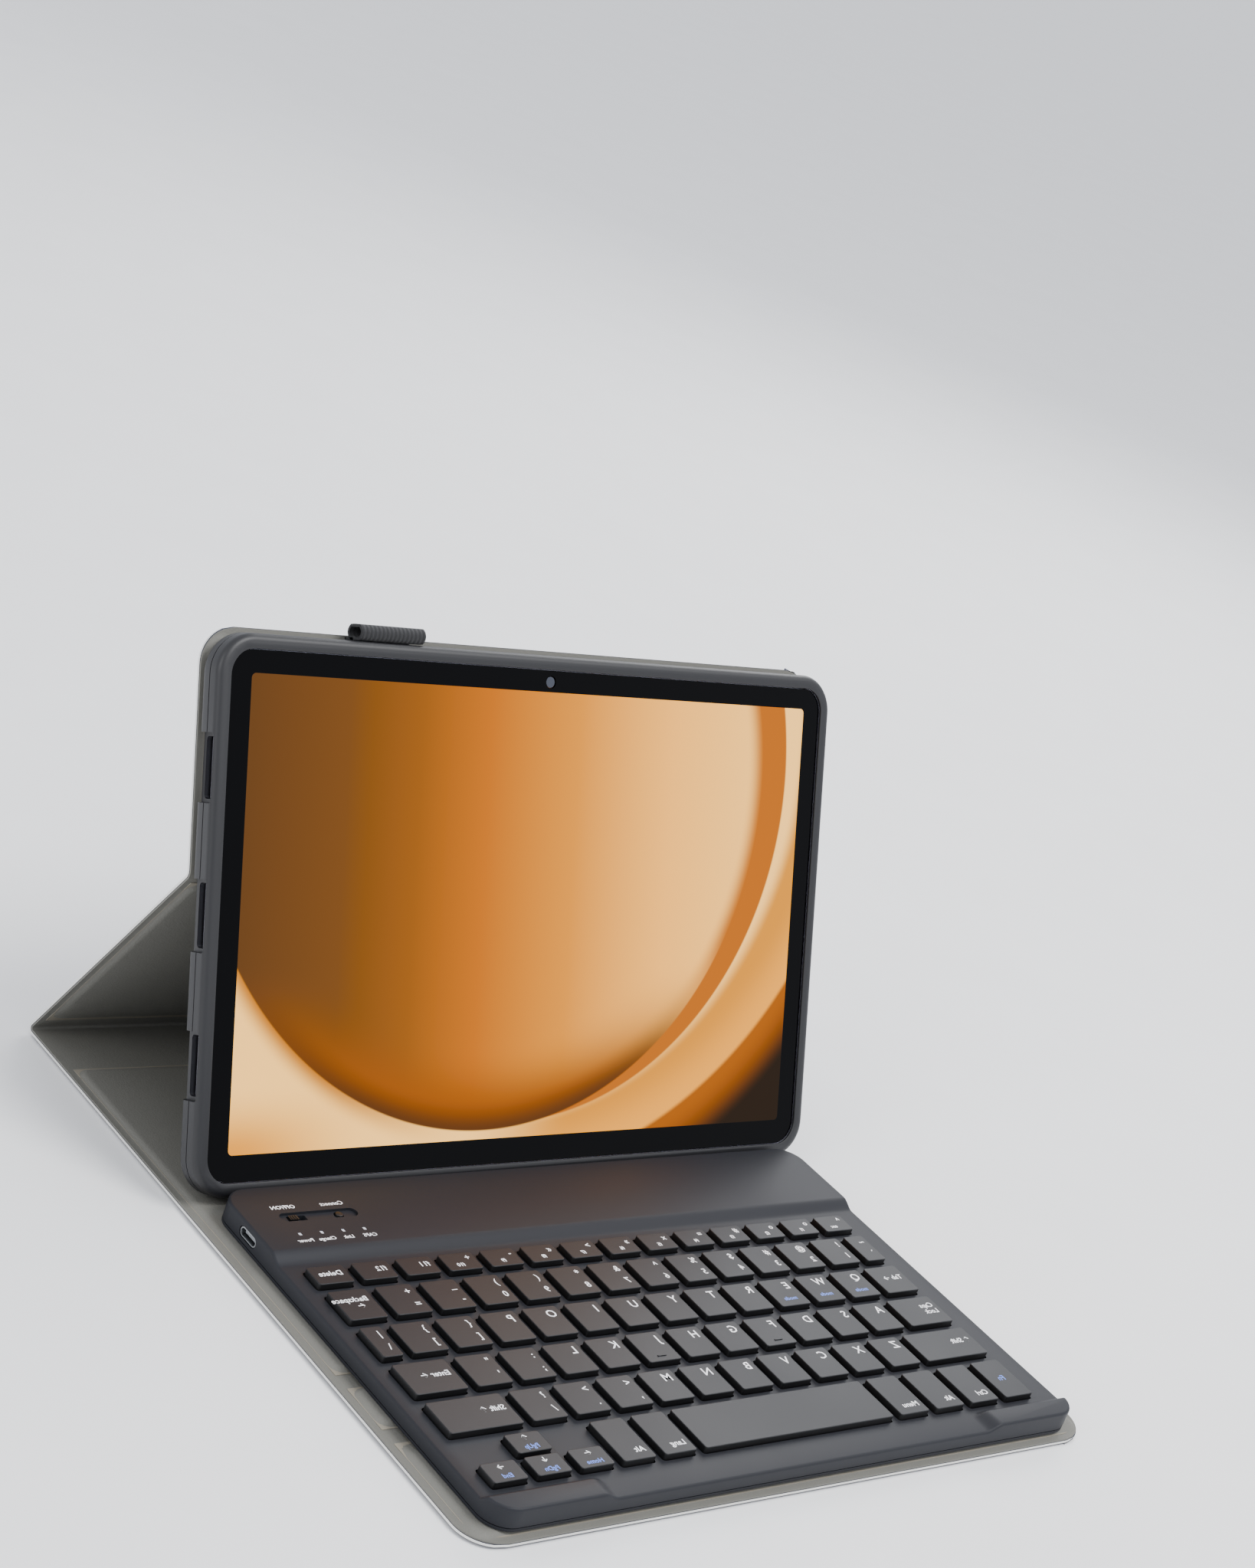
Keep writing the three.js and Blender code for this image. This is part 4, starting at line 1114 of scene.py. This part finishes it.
class KEYBOARD_OT_housing(bpy.types.Operator):
    """Model the keyboard's upper housing with its hump, pads and openings"""

    bl_idname = "keyboard_case.housing"
    bl_label = "Keyboard housing"

    def execute(self, context):
        settings = settings_of("keyboard_settings")
        deck = UNDERSIDE + settings.deck
        piece = rounded_block("keyboard_housing", SHELL_LOW, (SHELL_HIGH.x, SHELL_HIGH.y, deck), 2,
                              settings.corner, 12)
        self.raise_top(piece, settings, deck)
        bevel_edges(piece, self.top_rim, settings.edge, 4)
        self.cut_key_holes(piece, settings, deck)
        self.cut_controls(piece)
        finish_piece(piece, "keyboard", housing_plastic(), degrees=28)
        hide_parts("keyboard_top_shell")
        return {"FINISHED"}

    @staticmethod
    def raise_top(piece, settings, deck):
        """Divides the top along the slopes and lifts it to the rear hump and the front corner pads."""
        hump_front = SHELL_HIGH.y - settings.hump
        pad_rear = SHELL_LOW.y + settings.pad_depth
        planes = [((0, hump_front - settings.cove * step / 10, 0), (0, 1, 0)) for step in range(11)]
        planes += [((0, pad_rear - PAD_SLOPE * step / 6, 0), (0, 1, 0)) for step in range(7)]
        for step in range(9):
            offset = settings.pad_width - PAD_END_SLOPE * step / 8
            planes += [((SHELL_LOW.x + offset, 0, 0), (1, 0, 0)), ((SHELL_HIGH.x - offset, 0, 0), (1, 0, 0))]
        for place, direction in planes:
            choose(piece, "FACE", lambda face: True)
            bpy.ops.mesh.bisect(plane_co=place, plane_no=direction)
        bpy.ops.object.mode_set(mode="OBJECT")
        for vertex in piece.data.vertices:
            x, y, z = vertex.co
            if z > deck - 0.01 * MM:
                hump = s_curve((y - (hump_front - settings.cove)) / settings.cove)
                near_end = min(x - SHELL_LOW.x, SHELL_HIGH.x - x)
                pad = s_curve((pad_rear - y) / PAD_SLOPE)
                pad *= s_curve((settings.pad_width - near_end) / PAD_END_SLOPE)
                vertex.co.z = deck + (SHELL_HIGH.z - deck) * max(hump, pad)

    @staticmethod
    def top_rim(edge):
        normals = [face.normal.z for face in edge.link_faces]
        return len(normals) == 2 and max(normals) > 0.3 and abs(min(normals, key=abs)) < 0.1

    @staticmethod
    def cut_key_holes(piece, settings, deck):
        gap = settings.clearance
        cutters = [rounded_block("hole", (left - gap, front - gap, deck - 3.2 * MM),
                                 (right + gap, rear + gap, deck + 1 * MM), 2, 1.0 * MM, 2)
                   for body in ROWS for left, right, front, rear in key_places(body)]
        cut(piece, join(cutters, "holes"))

    @staticmethod
    def cut_controls(piece):
        """Cuts the switch's slot and well, the button's well, the lamps' windows and the socket's port."""
        top = SHELL_HIGH.z
        low, high = node_box("connect_button")
        # Name, centre, half sizes, depth, height above the top, corner radius, segments, all in mm.
        wells = [
            ("slot", SWITCH_SLOT, 14.5, 2.2, 0.9, 1, 2.19, 8),
            ("switch_well", (SWITCH_WELL_X, SWITCH_SLOT[1]), 3.5, 1.5, 2.6, 0, 0.6, 3),
            ("button_well", ((low.x + high.x) / 2, (low.y + high.y) / 2), 1.7, 1.7, 3.1, 0, 1.68, 8),
        ]
        for index in range(4):
            place = (SHELL_LOW.x + (LAMP_X + LAMP_SPACING * index) * MM, SHELL_HIGH.y - 25.5 * MM)
            wells.append(("window", place, 0.6, 0.75, 1.5, 1, 0.3, 2))
        for name, place, half_x, half_y, depth, above, radius, segments in wells:
            cut(piece, centred_block(name, place, half_x, half_y, top - depth * MM, top + above * MM,
                                     radius, segments))
        low, high = node_box("charging_socket")
        play = 0.25 * MM
        cut(piece, rounded_block("port", (low.x - 1 * MM, low.y - play, low.z - play),
                                 (high.x + 0.3 * MM, high.y + play, high.z + play), 0, 1.7 * MM, 6))


class KEYBOARD_OT_controls(bpy.types.Operator):
    """Model the switch knob, the connect button and the printed words round them"""

    bl_idname = "keyboard_case.controls"
    bl_label = "Controls"

    def execute(self, context):
        top = SHELL_HIGH.z
        low, high = node_box("power_switch_slider")
        knob_x, knob_y = (low.x + high.x) / 2, SWITCH_SLOT[1]
        parts = [centred_block("knob", (knob_x, knob_y), 1.6, 1.1, top - 2.2 * MM, top - 0.25 * MM, 0.4, 3)]
        for index in (-1, 0, 1):
            parts.append(centred_block("rib", (knob_x + index * 0.9 * MM, knob_y), 0.2, 0.9,
                                       top - 0.4 * MM, top - 0.05 * MM, 0.15, 2, axis=1))
        knob = join(parts, "switch_knob")
        low, high = node_box("connect_button")
        button = centred_block("connect_knob", ((low.x + high.x) / 2, (low.y + high.y) / 2), 1.3, 1.3,
                               top - 2.2 * MM, high.z, 1.29, 8)
        bevel_edges(button, rim_of(2, 1), 0.25 * MM, 3)
        for piece, body, node in ((knob, "power_switch", "power_switch_slider"),
                                  (button, "connect_button", "connect_button")):
            # The knob and the button take the keys' side colour, which is darkened as painted shade, all
            # over.
            finish_piece(piece, body, painted_shade_key_side())
            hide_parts(node)
        # Word, place from the left side and from the rear side, and height, all in mm.
        spots = [("OFF/ON", 16.7, 11.6, 2.5), ("Connect", 35.0, 11.6, 2.5)]
        spots += [(text, LAMP_X + LAMP_SPACING * index, 29.0, 2.2)
                  for index, text in enumerate(("Power", "Charge", "Link", "CAPS"))]
        words = [word(text, SHELL_LOW.x + across * MM, SHELL_HIGH.y - back * MM, top + PRINT_LIFT,
                      height * MM)
                 for text, across, back, height in spots]
        printed = finish_piece(join(words, "control_words"), "keyboard", white_print())
        return {"FINISHED"}


class CASE_OT_dress_nodes(bpy.types.Operator):
    """Give the remaining CAD nodes their finishes"""

    bl_idname = "keyboard_case.dress_nodes"
    bl_label = "Finishes of the inner pieces"

    def execute(self, context):
        # Pressed from fibre: a dull, uneven grey brown.
        board = moulded("pressed_fibre_board", "#7d776a", "#8d877a", 0.9, 0.6 * MM, 0.08 * MM)
        # Nickel plating: a bright, slightly warm shine.
        magnet = moulded("nickel_plated_magnet", "#77797d", "#85878b", 0.25, metallic=1.0)
        # Rolled sheet: a grey metal with a soft gloss.
        steel = moulded("rolled_steel_sheet", "#93969a", "#a3a6aa", 0.35, metallic=1.0)
        # Clear plastic film over pale paper: light and glossy.
        clear = moulded("clear_polycarbonate", "#c9ccd4", "#d6d9e0", 0.2)
        # Lacquer over copper: an even dark green with some gloss.
        mask = moulded("solder_mask", "#174a2c", "#1d5a35", 0.4)
        # Foil under plastic: a pale, dulled metal.
        foil = moulded("aluminium_battery_pouch", "#a9adb3", "#b6babf", 0.4, metallic=0.8)
        looks = {
            board: ("flap_board", "flap_spine_board", "front_panel_board", "lower_back_board",
                    "upper_back_board"),
            magnet: ("flap_magnet_bar", "front_panel_magnet_bar", "keyboard_magnet_bar"),
            steel: ("key_support_plate", "charging_socket"),
            clear: ("contact_membrane", "indicator_light_guide"),
            mask: ("keyboard_circuit_board",),
            foil: ("keyboard_battery",),
            housing_plastic(): ("keyboard_bottom_shell",),
        }
        for material, nodes in looks.items():
            for node in nodes:
                dress(node, material)
        return {"FINISHED"}


# ---- Stage ----

class STAGE_OT_stage(bpy.types.Operator):
    """Set the floor, the lamps and the camera"""

    bl_idname = "keyboard_case.stage"
    bl_label = "Stage"

    def execute(self, context):
        settings = settings_of("stage_settings")
        deselect()
        bpy.ops.mesh.primitive_plane_add(size=60, location=(0, 0, -0.5 * MM))
        floor = bpy.context.object
        floor.name = "floor"
        # Matt paper: a pale ground without any gleam.
        floor.data.materials.append(moulded("matt_paper_sweep", settings.floor, "#f7f7f7", 0.9))
        world = bpy.data.worlds.new("soft_studio")
        world.use_nodes = True
        background = world.node_tree.nodes["Background"]
        background.inputs["Color"].default_value = (0.9, 0.93, 1.0, 1.0)
        background.inputs["Strength"].default_value = 1.25
        context.scene.world = world
        for name, place, aim, watts in (
                ("key_lamp", (0.5, -0.7, 1.5), (0, -0.03, 0.03), 26),
                ("rear_lamp", (1.05, 0.75, 0.85), (0.06, -0.08, 0.01), 8),
                ("fill_lamp", (-1.4, -0.2, 0.9), (0, 0, 0.05), 8)):
            self.lamp(name, place, aim, watts * settings.light)
        camera = bpy.data.objects.new("camera", bpy.data.cameras.new("camera"))
        context.collection.objects.link(camera)
        camera.location = (-0.6369, -0.5910, 0.4677)
        camera.rotation_euler = [math.radians(angle) for angle in (66.04, -20.10, -38.84)]
        camera.data.sensor_width = 36
        camera.data.lens = 68.29
        camera.data.shift_x = -0.0396
        camera.data.shift_y = 0.1106
        camera.data.clip_start = 0.01
        context.scene.camera = camera
        return {"FINISHED"}

    @staticmethod
    def lamp(name, place, aim, watts):
        """A soft round lamp, 0.8 m across, that shines from its place towards its aim."""
        deselect()
        bpy.ops.object.light_add(type="AREA", location=place)
        lamp = bpy.context.object
        lamp.name = name
        lamp.data.shape = "DISK"
        lamp.data.size = 0.8
        lamp.data.energy = watts
        lamp.rotation_euler = (Vector(aim) - Vector(place)).to_track_quat("-Z", "Y").to_euler()


class CASE_PT_panel(bpy.types.Panel):
    """Lists the pieces of the case."""

    bl_label = "Tablet keyboard case"
    bl_idname = "CASE_PT_panel"
    bl_space_type = "VIEW_3D"
    bl_region_type = "UI"
    bl_category = "Keyboard case"

    def draw(self, context):
        for operator in OPERATORS:
            self.layout.operator(operator.bl_idname)
        for name in SETTINGS:
            group = getattr(context.scene, name)
            for key in group.__annotations__:
                self.layout.prop(group, key)


OPERATORS = (
    STAGE_OT_stage,
    COVER_OT_leather,
    COVER_OT_lining,
    TRAY_OT_tray,
    TRAY_OT_pencil_loop,
    TABLET_OT_details,
    KEYBOARD_OT_keys,
    KEYBOARD_OT_housing,
    KEYBOARD_OT_controls,
    CASE_OT_dress_nodes,
)
SETTINGS = {
    "cover_settings": CoverSettings,
    "tray_settings": TraySettings,
    "tablet_settings": TabletSettings,
    "keyboard_settings": KeyboardSettings,
    "stage_settings": StageSettings,
}


def register():
    for group in (*SETTINGS.values(), *OPERATORS, CASE_PT_panel):
        bpy.utils.register_class(group)
    for name, group in SETTINGS.items():
        setattr(bpy.types.Scene, name, bpy.props.PointerProperty(type=group))


def unregister():
    for name in SETTINGS:
        delattr(bpy.types.Scene, name)
    for group in (CASE_PT_panel, *reversed(OPERATORS), *SETTINGS.values()):
        bpy.utils.unregister_class(group)


def main():
    register()
    for operator in OPERATORS:
        group, name = operator.bl_idname.split(".")
        getattr(getattr(bpy.ops, group), name)()
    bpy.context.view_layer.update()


if __name__ == "__main__":
    main()
